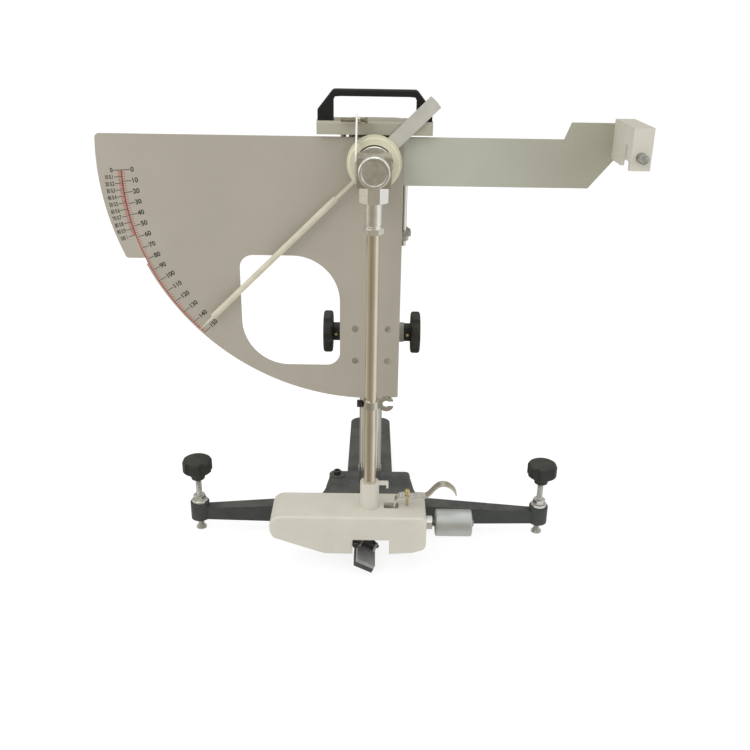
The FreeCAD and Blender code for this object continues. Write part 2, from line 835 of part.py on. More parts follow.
def releaseArm():
    """The flat arm from the head to the release box, with a stepped and cut end."""
    body = newBody("release_arm")
    face = sketchOn(body, "XZ_Plane", "armOutline", "0 - plateFront - plateThick")
    left = val("armLeft")
    top = val("plateTop")
    end = val("armEnd")
    foot = val("armFoot")
    up = val("armTopEnd")
    outline(face, [(left, foot), (val("armCutX"), foot), (val("armCutX") + 28, val("armCutTop")),
                   (end, val("armCutTop")), (end, up), (val("armStepX") + 7, up), (val("armStepX"), top),
                   (left, top)])
    circle(face, 0, val("pivotZ"), "armHoleR")
    circle(face, val("boxX"), val("buttonZ"), "stemR2 + fit")
    pad(body, face, "armThick", back=True)
    node(body, "release_arm")
    case = newBody("release_box")
    side = sketchOn(case, "XZ_Plane", "boxOutline", "0 - boxFront")
    x = val("boxX")
    h = val("boxHalf")
    w = val("boxWall")
    box(side, x - h, val("boxFoot"), x + h, val("boxTop"))
    pad(case, side, "plateFront + plateThick - boxFront", back=True)
    room = sketchOn(case, "XY_Plane", "boxRoom", "boxFoot - 1")
    box(room, x - h + w, val("boxFront") + w + 1, x + h - w, calc("plateFront + plateThick") - w)
    pocket(case, room, "boxTop - boxFoot - boxWall + 1", back=True)
    a = val("notchHalf")
    b = val("slotHalfY")
    for wall, t, outward in (("near", val("notchTop"), False), ("far", val("notchTopFar"), True)):
        notch = sketchOn(case, "YZ_Plane", wall + "Notch", "boxX")
        outline(notch, [(-a, val("boxFoot") - 1), (a, val("boxFoot") - 1), (a, t - 3),
                        (a - 1, t - 1, a - 3, t), (b, t), (b, val("slotTop") - b),
                        (0, val("slotTop"), -b, val("slotTop") - b), (-b, t), (3 - a, t),
                        (1 - a, t - 1, -a, t - 3)])
        pocket(case, notch, "boxHalf + 4", back=outward)
    pinHole = sketchOn(case, "XZ_Plane", "pinHole", "0 - boxFront + 1")
    circle(pinHole, x, val("buttonZ"), "buttonR + fit")
    pocket(case, pinHole, "boxWall + 4", back=False)
    backHole = sketchOn(case, "XZ_Plane", "backHole", "0 - plateFront + boxWall")
    circle(backHole, x, val("buttonZ"), "stemR2 + fit")
    pocket(case, backHole, "boxWall + 6", back=False)
    node(case, "release_box")


def releaseButton():
    """The sprung pin: a wide button, a waist that frees the catch and a stem in the arm."""
    waistStart = -val("forkHalf") - val("buttonTravel") - 1.5
    waistEnd = -val("forkHalf") - 1.4
    r = val("buttonR")
    body = turned("release_button", [(0, val("buttonFront")), (r - 1, val("buttonFront")),
                                     (r, val("buttonFront") + 1), (r, waistStart),
                                     (val("neckR"), waistStart + 1), (val("neckR"), waistEnd - 1),
                                     (val("pinR"), waistEnd), (val("pinR"), 28), (val("stemR2"), 28),
                                     (val("stemR2"), 60), (0, 60)], ("boxX", "0", "buttonZ"), alongY)
    node(body, "release_button")


shelfHalf = 66
shelfFront = 48
shelfBack = 84
lipFoot = 545
handleHalf = 65
handleTop = 594
handleY = 57
handleDeep = 12
handleFootIn = 47
tieX = 36.5
tieY = 69.5
tieR = 3.5
tieFoot = 412
lugZ = 425
lugThick = 5
tieNutFlats = 11
tieNutHeight = 6.5
handleScrewR = 2.5
handleScrewHeadR = 4.2
dims("handle shelf", globals())


def handleShelf():
    """Bent sheet on top of the head: a flat top with a lip down its front."""
    body = newBody("handle_shelf")
    s = val("shelfSheet")
    side = sketchOn(body, "YZ_Plane", "shelfBend")
    f = val("shelfFront")
    z = val("shelfZ")
    outline(side, [(val("shelfBack"), z), (f + 3, z), (f + 0.9, z - 0.9, f, z - 3), (f, val("lipFoot")),
                   (f + s, val("lipFoot")), (f + s, z - s), (val("shelfBack"), z - s)])
    pad(body, side, "shelfHalf + shelfHalf", both=True)
    holes = sketchOn(body, "XY_Plane", "shelfHoles", "shelfZ - shelfSheet - 1")
    for k in (-1, 1):
        circle(holes, k * val("tieX"), val("tieY"), "tieR + fit")
        circle(holes, k * (val("handleHalf") - 8), val("handleY"), "handleScrewR + fit")
    pocket(body, holes, back=True)
    node(body, "handle_shelf")


def carryHandle():
    """Moulded bow handle: slanted shoulders outside and a finger opening with cut corners."""
    body = newBody("carry_handle")
    face = sketchOn(body, "XZ_Plane", "handleOutline", "0 - handleY")
    h = val("handleHalf")
    top = val("handleTop")
    z = val("shelfZ")
    inner = val("handleFootIn")
    outline(face, [(-h, z), (-inner, z), (-inner, z + 22), (2 - inner, z + 26), (8 - inner, top - 7.5),
                   (inner - 8, top - 7.5), (inner - 2, z + 26), (inner, z + 22), (inner, z), (h, z),
                   (h, z + 12), (inner + 2, top - 2), (inner, top - 0.5, inner - 2, top),
                   (2 - inner, top), (-inner, top - 0.5, -inner - 2, top - 2), (-h, z + 12)])
    pad(body, face, "handleDeep", both=True)
    dress(body, "Fillet", "knobEdge", lambda e: abs(middle(e).z - top) < 0.2 and e.Length > 20)
    foot = sketchOn(body, "XY_Plane", "handleHoles", "shelfZ - 1")
    for k in (-1, 1):
        circle(foot, k * (h - 8), val("handleY"), "handleScrewR + fit")
    pocket(body, foot, "10", back=True)
    node(body, "carry_handle")
    screws = []
    for name, x in (("left", "8 - handleHalf"), ("right", "handleHalf - 8")):
        r = val("handleScrewR")
        big = val("handleScrewHeadR")
        profile = [(0, -3), (big - 0.5, -3), (big, -2.5), (big, 0), (r, 0), (r, 10), (0, 10)]
        screws.append(turned("handle_screw_" + name, profile, (x, "handleY", "shelfZ - shelfSheet")))
    group("handle_screws", screws)


def tieRods():
    """Two long studs from the shelf down to the lugs on the casting, each with a nut below its lug."""
    rods = []
    nuts = []
    for name, k in (("left", -1), ("right", 1)):
        x = "0 - tieX" if k < 0 else "tieX"
        rods.append(cylinder("tie_rod_" + name, "tieR", "shelfZ - tieFoot", (x, "tieY", "tieFoot"), None,
                             None, "smallBevel"))
        nuts.append(nut("tie_nut_" + name, "tieNutFlats", "tieNutHeight", "tieR + fit",
                        (x, "tieY", "lugZ - tieNutHeight")))
    group("tie_rods", rods)
    group("tie_nuts", nuts)


liftKnobR = 27.5
liftKnobThick = 12
liftLobes = 8
liftScoopR = 9
liftScoopReach = 34
hubR = 12
hubLength = 9
shaftEnd = 62
setScrewR = 2
setScrewLength = 7
dims("lift shaft", globals())


def liftShaft():
    """Pinion shaft through the lower block, its bushings and the two lobed knobs."""
    m = val("toothModule")
    count = int(val("pinionTeeth"))
    pitchR = m * count / 2
    body = newBody("pinion_shaft")
    y = calc("rackPitchY") + pitchR
    bar = sketchOn(body, "YZ_Plane", "shaftBar")
    circle(bar, y, val("pinionZ"), "shaftR")
    pad(body, bar, "shaftEnd + shaftEnd", both=True)
    gear = sketchOn(body, "YZ_Plane", "pinionTeeth")
    points = []
    lean = math.tan(math.radians(val("toothLean")))
    half = (toothPitch() - val("backlash")) / 4
    for k in range(count):
        a = math.pi + 2 * math.pi * k / count
        for r, w in ((pitchR - 1.2 * m, half + 1.1 * m * lean), (pitchR, half),
                     (pitchR + 0.85 * m, half - 0.95 * m * lean)):
            points.append((r, w, a, -1))
        for r, w in ((pitchR + 0.85 * m, half - 0.95 * m * lean), (pitchR, half),
                     (pitchR - 1.2 * m, half + 1.1 * m * lean)):
            points.append((r, w, a, 1))
    corners = []
    for r, w, a, s in points:
        b = a + s * w / r
        corners.append((y + r * math.cos(b), val("pinionZ") + r * math.sin(b)))
    outline(gear, corners)
    pad(body, gear, "toothFace", both=True)
    node(body, "pinion_shaft")
    knobs = []
    screws = []
    for name, k, along in (("left", -1, alongMinusX), ("right", 1, alongX)):
        label = "lift_knob_" + name
        knob = newBody(label)
        r = val("liftKnobR")
        t = val("liftKnobThick")
        hub = val("hubLength")
        section = sketchOn(knob, "XZ_Plane", label + "Section")
        bore = calc("shaftR + fit")
        outline(section, [(bore, 0), (val("hubR"), 0), (val("hubR"), hub), (r - 3, hub),
                          (r - 0.9, hub + 0.9, r, hub + 3), (r, hub + t - 3),
                          (r - 0.9, hub + t - 0.9, r - 3, hub + t), (10, hub + t), (8, hub + t - 1.5),
                          (bore, hub + t - 1.5)])
        turn(knob, section)
        scoop = sketchOn(knob, "XY_Plane", label + "Scoop", "hubLength - 1")
        circle(scoop, val("liftScoopReach"), 0, "liftScoopR")
        cut = pocket(knob, scoop, back=True)
        polar(knob, scoop, cut, "liftLobes")
        tap = sketchOn(knob, "XZ_Plane", label + "Tap")
        circle(tap, 0, val("hubLength") / 2, "setScrewR + fit")
        pocket(knob, tap, "hubR + 1", back=True)
        put(knob, "0 - bossOut - slack" if k < 0 else "bossOut + slack", "rackPitchY + 9", "pinionZ",
            *along)
        knobs.append(knob)
        r = val("setScrewR")
        length = val("setScrewLength")
        middle = "0 - bossOut - slack - hubLength / 2" if k < 0 else "bossOut + slack + hubLength / 2"
        screw = turned("knob_screw_" + name, [(0, 0), (r, 0), (r, length), (0, length)],
                       (middle, "rackPitchY + 9 - shaftR - setScrewLength - 0.1", "pinionZ"), alongY)
        screws.append(screw)
    group("lift_knobs", knobs)
    group("lift_knob_screws", screws)


clampKnobR = 23
clampKnobThick = 14
clampLobes = 6
clampScoopR = 7
clampScoopReach = 27.5
clampGap = 6
clampStudTip = 107.3
dims("clamp", globals())


def headClamp():
    """Lobed clamp knob behind the head, with the stud that presses on the column."""
    knob = starKnob("clamp_knob", "clampKnobR", "clampKnobThick", "clampLobes", "clampScoopR",
                    "clampScoopReach", ("0", "clampBossOut + clampGap", "clampZ"), alongY)
    hole = sketchOn(knob, "XY_Plane", "clampKnobHole", "- 1")
    circle(hole, 0, 0, "clampBoreR + fit")
    pocket(knob, hole, "clampKnobThick - 3", back=True)
    node(knob, "clamp_knob")
    r = val("clampBoreR")
    length = calc("clampBossOut + clampGap + clampKnobThick - clampStudTip - 4.1")
    node(turned("clamp_stud", [(0, 0), (r - 1, 0), (r, 1), (r, length), (0, length)],
                ("0", "clampStudTip", "clampZ"), alongY), "clamp_stud")


blockX = 19
knuckleTop = 531
knuckleFoot = 498
knuckleFront = -22
knuckleBack = 18
capFront = -32
capR2 = 17.5
capDish = 14.2
spindleFront = -20
spindleEnd = 72.5
unionR = 16.2
unionTop = 497.7
unionFoot = 479
sleeveR = 10
sleeveFoot = 450
jamFlats = 21
jamFoot = 443
rodR = 7.5
rodTop = 505
rodFoot = 76
stripX = -21.2
stripThick = 2
driverZ = 562
driverY = 40.3
driverR = 2
driverHeadR = 3.3
driverTip = -8.1
driverHead = 2.8
driverEnd = -38.3
driverNutFlats = 6.8
driverNutHeight = 3
sleeveGroove = 0.8
dims("pendulum head", globals())


def knuckle():
    """Clamp block on the spindle: squared body, round front boss bore and saw cut."""
    body = newBody("knuckle_block")
    face = sketchOn(body, "XZ_Plane", "knuckleFace", "0 - knuckleFront")
    x = val("blockX")
    roundBox(face, -x, val("knuckleFoot"), x, val("knuckleTop"), 3)
    pad(body, face, "knuckleBack - knuckleFront", back=True)
    bore = sketchOn(body, "XZ_Plane", "knuckleBore", "0 - knuckleFront + 1")
    circle(bore, 0, val("pivotZ"), "spindleR + fit")
    pocket(body, bore, "knuckleBack - knuckleFront + 4", back=False)
    rod = sketchOn(body, "XY_Plane", "rodSocket", "knuckleFoot - 1")
    circle(rod, 0, 0, "rodR + fit")
    pocket(body, rod, "rodTop - knuckleFoot + 1 + fit", back=True)
    node(body, "knuckle_block")
    r = val("capR2")
    dish = val("capDish")
    deep = val("knuckleFront") - val("capFront")
    node(turned("spindle_cap", [(0, 0), (r, 0), (r, deep - 1.5), (r - 1.5, deep), (dish, deep),
                                (dish - 0.8, deep - 1.4), (0, deep - 1.4)],
                ("0", "knuckleFront", "pivotZ"), alongMinusY), "spindle_cap")
    node(cylinder("spindle", "spindleR", "spindleEnd - spindleFront", ("0", "spindleFront", "pivotZ"),
                  alongY, None, "smallBevel"), "spindle")
    node(cylinder("drive_disc", "discR", "discThick", ("0", "discFront", "pivotZ"), alongY,
                  "spindleR + fit", "smallBevel"), "drive_disc")


def driver():
    """The strip on the side of the knuckle and the screw that meets the pointer tail."""
    body = newBody("driver_strip")
    side = sketchOn(body, "YZ_Plane", "stripOutline", "stripX")
    z = val("driverZ")
    y = val("driverY")
    top = val("knuckleTop")
    rim = val("driverHeadR")
    outline(side, [(-12, 502), (12, 502), (12, top), (16, top + 6, 26, top + 9), (y - 2, z - 12),
                   (y + rim, z - 7), (y + rim, z), (y + rim - 2, z + 5, y - 3, z + 7), (y - 6, z + 7),
                   (6, top + 12), (-6, top + 4, -12, top - 6)])
    circle(side, y, z, "driverR + fit")
    pad(body, side, "stripThick")
    node(body, "driver_strip")
    r = val("driverR")
    big = val("driverHeadR")
    length = val("driverTip") - val("driverEnd")
    screw = turned("driver_screw", [(0, 0), (r - 0.5, 0), (r, 0.5), (r, length - val("driverHead")),
                                    (big, length - val("driverHead")), (big, length - 0.6),
                                    (big - 0.6, length), (0, length)],
                   ("driverEnd", "driverY", "driverZ"), alongX)
    node(screw, "driver_screw")
    node(nut("driver_nut", "driverNutFlats", "driverNutHeight", "driverR + fit",
             ("stripX + stripThick", "driverY", "driverZ"), alongX), "driver_nut")


def rodParts():
    """Union nut, sleeve, jam nut and the rod that hangs from them."""
    union = nut("union_nut", "unionR + unionR", "unionTop - unionFoot", "rodR + fit",
                ("0", "0", "unionFoot"), None, 8, 22.5)
    node(union, "union_nut")
    r = val("sleeveR")
    b = calc("rodR + fit")
    g = val("sleeveGroove")
    tall = calc("unionFoot - sleeveFoot")
    node(turned("rod_sleeve", [(b, 0), (r, 0), (r, 2), (r - g, 2), (r - g, 4), (r, 4), (r, tall),
                               (b, tall)], ("0", "0", "sleeveFoot")), "rod_sleeve")
    node(nut("rod_jam_nut", "jamFlats", "sleeveFoot - jamFoot", "rodR + fit", ("0", "0", "jamFoot")),
         "rod_jam_nut")
    node(cylinder("pendulum_rod", "rodR", "rodTop - rodFoot", ("0", "0", "rodFoot"), None, None,
                  "smallBevel"), "pendulum_rod")


clipR = 285
clipRingR = 10
clipHalf = 5
clipX = 18.9
clipInner = 4.75
clipOuter = 9.4
clipMouth = 3.8
thumbR = 4.6
thumbLength = 7
thumbStart = -17
thumbShank = 2
dims("rod clip", globals())


def rodClip():
    """Collar on the rod with the C-shaped catch that the release pin holds."""
    body = newBody("rod_clip")
    z0 = "pivotZ - clipR - clipHalf"
    ring = sketchOn(body, "XY_Plane", "clipRing", z0)
    circle(ring, 0, 0, "clipRingR")
    pad(body, ring, "clipHalf + clipHalf")
    jaw = sketchOn(body, "XZ_Plane", "clipJaw", "0 - forkHalf")
    cx = val("clipX")
    cz = val("pivotZ") - val("clipR")
    inner = val("clipInner")
    outer = val("clipOuter")
    gap = val("clipMouth")
    ai = math.asin(gap / inner)
    ao = math.asin(gap / outer)
    outline(jaw, [(cx + inner * math.cos(ai), cz + gap), (cx + outer * math.cos(ao), cz + gap),
                  (cx, cz + outer, cx - outer * 0.8, cz + outer * 0.6), (2, cz + outer * 0.6),
                  (2, cz - outer * 0.6), (cx - outer * 0.8, cz - outer * 0.6),
                  (cx, cz - outer, cx + outer * math.cos(ao), cz - gap),
                  (cx + inner * math.cos(ai), cz - gap),
                  (cx - inner, cz, cx + inner * math.cos(ai), cz + gap)])
    pad(body, jaw, "forkHalf + forkHalf", back=False)
    bore = sketchOn(body, "XY_Plane", "clipBore", "pivotZ - clipR - 12")
    circle(bore, 0, 0, "rodR + fit")
    pocket(body, bore, "24", back=True)
    tap = sketchOn(body, "YZ_Plane", "clipTap", "0 - clipRingR - 1")
    circle(tap, 0, cz, "thumbShank + fit")
    pocket(body, tap, "5", back=True)
    node(body, "rod_clip")
    r = val("thumbR")
    s = val("thumbShank")
    t = val("thumbLength")
    end = -calc("thumbStart + rodR + fit + fit")
    screw = turned("clip_thumb_screw", [(0, 0), (r - 0.6, 0), (r, 0.6), (r, t - 0.6), (r - 0.6, t),
                                        (s, t), (s, end), (0, end)],
                   ("thumbStart", "0", "pivotZ - clipR"), alongX)
    node(screw, "clip_thumb_screw")


footTop = 86
footHalf = 31
footLeft = -127
footRight = 73
footFoot = 31
footWall = 4
footRoof = 5
notchLeft = -21
notchRight = 26
footNotchTop = 53
footEdge = 3
collarR = 12.2
collarTop = 121
hookX = 24
slotX = 28
slotRun = 9.5
slotWidth = 7
axleX = -17
axleZ = 46
axleR = 4
axleOut = 33.5
dims("foot", globals())


def footShell():
    """The hollow cast foot: rounded long nose, turned-up tail, notch over the slider."""
    body = newBody("foot_shell")
    side = sketchOn(body, "XZ_Plane", "footOutline")
    left = val("footLeft")
    right = val("footRight")
    top = val("footTop")
    foot = val("footFoot")
    nl = val("notchLeft")
    nr = val("notchRight")
    nt = val("footNotchTop")
    nose = rounded([(nl, foot, 0), (left + 70, foot, 24), (left + 4, foot + 23, 9), (left, foot + 33, 5),
                    (left, top, 15), (right, top, 7), (right, foot + 8, 8), (nr + 30, foot + 2, 14)])
    outline(side, nose + [(nr, foot), (nr, nt), (nl, nt)])
    pad(body, side, "footHalf + footHalf", both=True)
    half = val("footHalf")
    dress(body, "Fillet", "footEdge",
          lambda e: abs(abs(middle(e).y) - half) < 0.01 and middle(e).z > top - 1)
    room = sketchOn(body, "XY_Plane", "footRoom", "footFoot - 2")
    w = val("footWall")
    roundBox(room, left + w + 2, w - half, right - w, half - w, 6)
    pocket(body, room, "footTop - footRoof - footFoot + 2", back=True)
    holes = sketchOn(body, "XY_Plane", "footRoofHoles", "footTop - footRoof - 2")
    circle(holes, 0, 0, "rodR + fit")
    sx = val("slotX")
    run = val("slotRun")
    sw = val("slotWidth")
    roundBox(holes, sx - run, -sw, sx + run, sw, 2)
    pocket(body, holes, back=True)
    pins = sketchOn(body, "XZ_Plane", "axleHoles", "footHalf + 1")
    circle(pins, val("axleX"), val("axleZ"), "axleR + fit")
    pocket(body, pins, "footHalf + footHalf + 4", back=False)
    tap = sketchOn(body, "YZ_Plane", "weightTap", "footRight - 10")
    circle(tap, 0, val("weightZ"), "weightStudR + fit")
    pocket(body, tap, "20", back=True)
    node(body, "foot_shell")
    collar = newBody("foot_collar")
    ring = sketchOn(collar, "XY_Plane", "collarRing", "footTop")
    circle(ring, 0, 0, "collarR")
    pad(collar, ring, "collarTop - footTop")
    hook = sketchOn(collar, "XZ_Plane", "collarHook")
    r = val("collarR")
    z = val("collarTop")
    hx = val("hookX")
    outline(hook, [(r - 2, z - 3.5), (hx - 3, z - 3.5), (hx - 3, z - 8), (hx, z - 8), (hx, z - 1.5),
                   (hx - 0.4, z - 0.4, hx - 1.5, z), (r - 2, z)])
    pad(collar, hook, "6", both=True)
    bore = sketchOn(collar, "XY_Plane", "collarBore", "footTop - 1")
    circle(bore, 0, 0, "rodR + fit")
    pocket(collar, bore, back=True)
    node(collar, "foot_collar")
    node(cylinder("foot_axle", "axleR", "axleOut + axleOut", ("axleX", "0 - axleOut", "axleZ"), alongY,
                  None, "smallBevel"), "foot_axle")


weightZ = 61
weightStudR = 5
weightStudEnd = 136
weightR = 17.5
weightStart = 86
weightLength = 47
weightEdge = 2.2
weightNutFlats = 17
weightNutHeight = 9
footNutHeight = 6
dims("balance weight", globals())


def balanceWeight():
    """Threaded stud in the end of the foot with two nuts and the sliding weight."""
    start = calc("footRight - 14")
    length = calc("weightStudEnd - footRight + 14")
    r = val("weightStudR")
    node(turned("weight_stud", [(0, 0), (r - 1, 0), (r, 1), (r, length - 1), (r - 1, length), (0, length)],
                ("footRight - 14", "0", "weightZ"), alongX), "weight_stud")
    out = nut("weight_nut_out", "weightNutFlats", "weightNutHeight", "weightStudR + fit",
              ("footRight", "0", "weightZ"), alongX)
    inner = nut("weight_nut_in", "weightNutFlats", "footNutHeight", "weightStudR + fit",
                ("footRight - footWall - footNutHeight", "0", "weightZ"), alongX)
    group("weight_nuts", [out, inner])
    big = val("weightR")
    t = val("weightLength")
    b = calc("weightStudR + fit")
    edge = val("weightEdge")
    soft = edge * (1 - math.sqrt(0.5))
    profile = [(b, 0), (big - edge, 0), (big - soft, soft, big, edge), (big, t - edge),
               (big - soft, t - soft, big - edge, t), (b + 2, t), (b, t - 2)]
    node(turned("balance_weight", profile, ("weightStart", "0", "weightZ"), alongX), "balance_weight")


edgeX = 3.5
edgeZ = 8
sliderTilt = 26
padLong = 76.2
padWide = 25.4
padThick = 6.35
backThick = 4.5
rockZ = 16.5
rockR = 2.5
tubeR = 5
earThick = 3
tubeHalf = 8.5
armHubR = 8
armHalf = 22
leverHalf = 5
stripGauge = 2
limitX = 48.5
limitR = 1.7
limitHeadR = 3.2
limitTop = 109.5
limitHeadTall = 6
leverRootX = 31
handleWide = 12
limitGap = 0.3
dims("slider", globals())


def slopeFrame(body):
    """Places a body made on the slider's own axes: origin at the working edge, X down the slope."""
    put(body, "edgeX", "0", "edgeZ", (0, 1, 0), val("sliderTilt"))


def sliderPieces():
    """Rubber pad, its backing with two ears, and the pin that it rocks on."""
    rubber = newBody("rubber_slider")
    foot = sketchOn(rubber, "XY_Plane", "rubberOutline")
    long = val("padLong") / 2
    wide = val("padWide")
    box(foot, -wide, -long, 0, long)
    pad(rubber, foot, "padThick")
    slopeFrame(rubber)
    node(rubber, "rubber_slider")
    holder = newBody("slider_holder")
    plate = sketchOn(holder, "XY_Plane", "holderOutline", "padThick")
    roundBox(plate, -wide, -long, 0, long, 1.5)
    pad(holder, plate, "backThick")
    mid = -wide / 2
    reach = val("tubeHalf") + val("slack")
    thick = val("earThick")
    z = val("rockZ")
    for name, x in (("Low", mid + reach), ("High", mid - reach - thick)):
        ear = sketchOn(holder, "YZ_Plane", "ear" + name, "0 + %s" % x)
        base = calc("padThick + backThick - smallBevel")
        outline(ear, [(-7, base), (7, base), (4.5, z), (0, z + 4.5, -4.5, z)])
        pad(holder, ear, "earThick")
    hole = sketchOn(holder, "YZ_Plane", "rockHole", "0 - padWide - 2")
    circle(hole, 0, z, "rockR + fit")
    pocket(holder, hole, back=True)
    slopeFrame(holder)
    node(holder, "slider_holder")
    pin = newBody("rock_pin")
    section = sketchOn(pin, "XZ_Plane", "rockPinSection", None, None, "rockZ")
    r = val("rockR")
    head = r + 1.8
    start = mid - reach - thick
    end = mid + reach + thick + 3
    outline(section, [(start - 2.4, 0), (start - 2.4, head - 0.5), (start - 1.9, head), (start, head),
                      (start, r), (end - 0.6, r), (end, r - 0.6), (end, 0)])
    made = turn(pin, section)
    made.ReferenceAxis = (section, ["H_Axis"])
    slopeFrame(pin)
    node(pin, "rock_pin")


def rockCentre():
    """Where the middle of the rock tube lies, in the part's own frame."""
    tilt = math.radians(val("sliderTilt"))
    half = val("padWide") / 2
    x = val("edgeX") - half * math.cos(tilt) + val("rockZ") * math.sin(tilt)
    z = val("edgeZ") + half * math.sin(tilt) + val("rockZ") * math.cos(tilt)
    return x, z


def sliderArm():
    """Arm inside the foot: hub on its axle, rock tube below and lever up to the lifting handle."""
    body = newBody("slider_arm")
    cx, cz = rockCentre()
    ax = val("axleX")
    az = val("axleZ")
    lx = val("leverRootX")
    hub = sketchOn(body, "XZ_Plane", "armHub")
    circle(hub, ax, az, "armHubR")
    pad(body, hub, "armHalf + armHalf", both=True)
    link = sketchOn(body, "XZ_Plane", "armLink")
    outline(link, [(cx - 4, cz), (cx + 4, cz), (cx + 5, az - 8), (10, az + 6), (lx, az + 18),
                   (lx, az + 30), (lx - 3, az + 30), (lx - 4, az + 24), (4, az + 15), (ax + 2, az + 7),
                   (ax - 4, az + 3), (ax - 2, az - 6), (-4, cz + 10)])
    pad(body, link, "leverHalf + leverHalf", both=True)
    tube = sketchOn(body, "XZ_Plane", "rockTube")
    lean = FreeCAD.Rotation(FreeCAD.Vector(0, 0, 1), -val("sliderTilt"))
    tube.AttachmentOffset = FreeCAD.Placement(FreeCAD.Vector(cx, cz, 0), lean)
    half = val("tubeHalf")
    box(tube, -half, 0, half, val("tubeR"))
    made = turn(body, tube)
    made.ReferenceAxis = (tube, ["H_Axis"])
    doc.recompute()
    bore = sketchOn(body, "XZ_Plane", "rockBore")
    bore.AttachmentOffset = tube.AttachmentOffset
    box(bore, -half - 2, 0, half + 2, calc("rockR + fit"))
    cut = turn(body, bore, "Groove")
    cut.ReferenceAxis = (bore, ["H_Axis"])
    hole = sketchOn(body, "XZ_Plane", "armHubBore", "armHalf + 1")
    circle(hole, ax, az, "axleR + fit")
    pocket(body, hole, "armHalf + armHalf + 4", back=False)
    node(body, "slider_arm")


def bentStrip(points, gauge):
    """Edges of a bent strip: one smooth curve and its parallel, joined at both ends."""
    middleLine = Part.BSplineCurve()
    middleLine.interpolate([vec(x, y) for x, y in points])
    sides = []
    count = 4 * len(points)
    first = middleLine.FirstParameter
    last = middleLine.LastParameter
    for s in (1, -1):
        row = []
        for k in range(count + 1):
            u = first + (last - first) * k / count
            tangent = middleLine.tangent(u)[0]
            row.append(middleLine.value(u) + vec(-tangent.y, tangent.x) * (s * gauge / 2))
        curve = Part.BSplineCurve()
        curve.interpolate(row)
        sides.append(curve)
    upper, lower = sides
    return [upper, Part.LineSegment(upper.EndPoint, lower.EndPoint), lower,
            Part.LineSegment(lower.StartPoint, upper.StartPoint)]


def liftHandle():
    """Bent strip that lifts the slider: up through the roof, along it and over in a finger arch."""
    body = newBody("lift_handle")
    side = sketchOn(body, "XZ_Plane", "handleBend")
    gauge = val("stripGauge")
    x = val("leverRootX") + gauge / 2
    top = val("footTop")
    path = [(x, top - 19), (x, top - 8), (x + 0.3, top + 4), (x + 3, top + 11.5), (x + 8.5, top + 15.5),
            (x + 16, top + 15.4), (x + 24, top + 14.6), (x + 31, top + 16), (x + 39, top + 15.3),
            (x + 50, top + 25.5), (x + 61, top + 33), (x + 73, top + 28.5), (x + 79, top + 19)]
    for curve in bentStrip(path, gauge):
        side.addGeometry(curve, False)
    pad(body, side, "handleWide", both=True)
    hole = sketchOn(body, "XY_Plane", "limitHole", "footTop + 6")
    circle(hole, val("limitX"), 0, "limitR + fit")
    pocket(body, hole, "20", back=True)
    node(body, "lift_handle")
    r = val("limitR")
    big = val("limitHeadR")
    tip = calc("footTop + limitGap")
    tall = val("limitTop") - tip
    neck = tall - val("limitHeadTall")
    screw = turned("limit_screw", [(0, 0), (r - 0.8, 0), (r, 1), (r, neck), (big - 0.5, neck),
                                   (big, neck + 0.5), (big, tall - 0.5), (big - 0.5, tall), (0, tall)],
                   ("limitX", "0", "footTop + limitGap"))
    node(screw, "limit_screw")


ringFront = 26
ringRim = 31.5
ringBody = 29.5
ringMouth = 21.3
ringDeep = 18
pointerAngle = 135.7
pointerReach = 298
bladeBack = 45.8
bladeRoot = 22
shoulder = 62
bladeEnd = 274
bladeHalf = 3.6
neckHalfWide = 2
tailHalf = 8.4
tailReach = 96
tailThick = 2
feltR = 18
dims("pointer", globals())


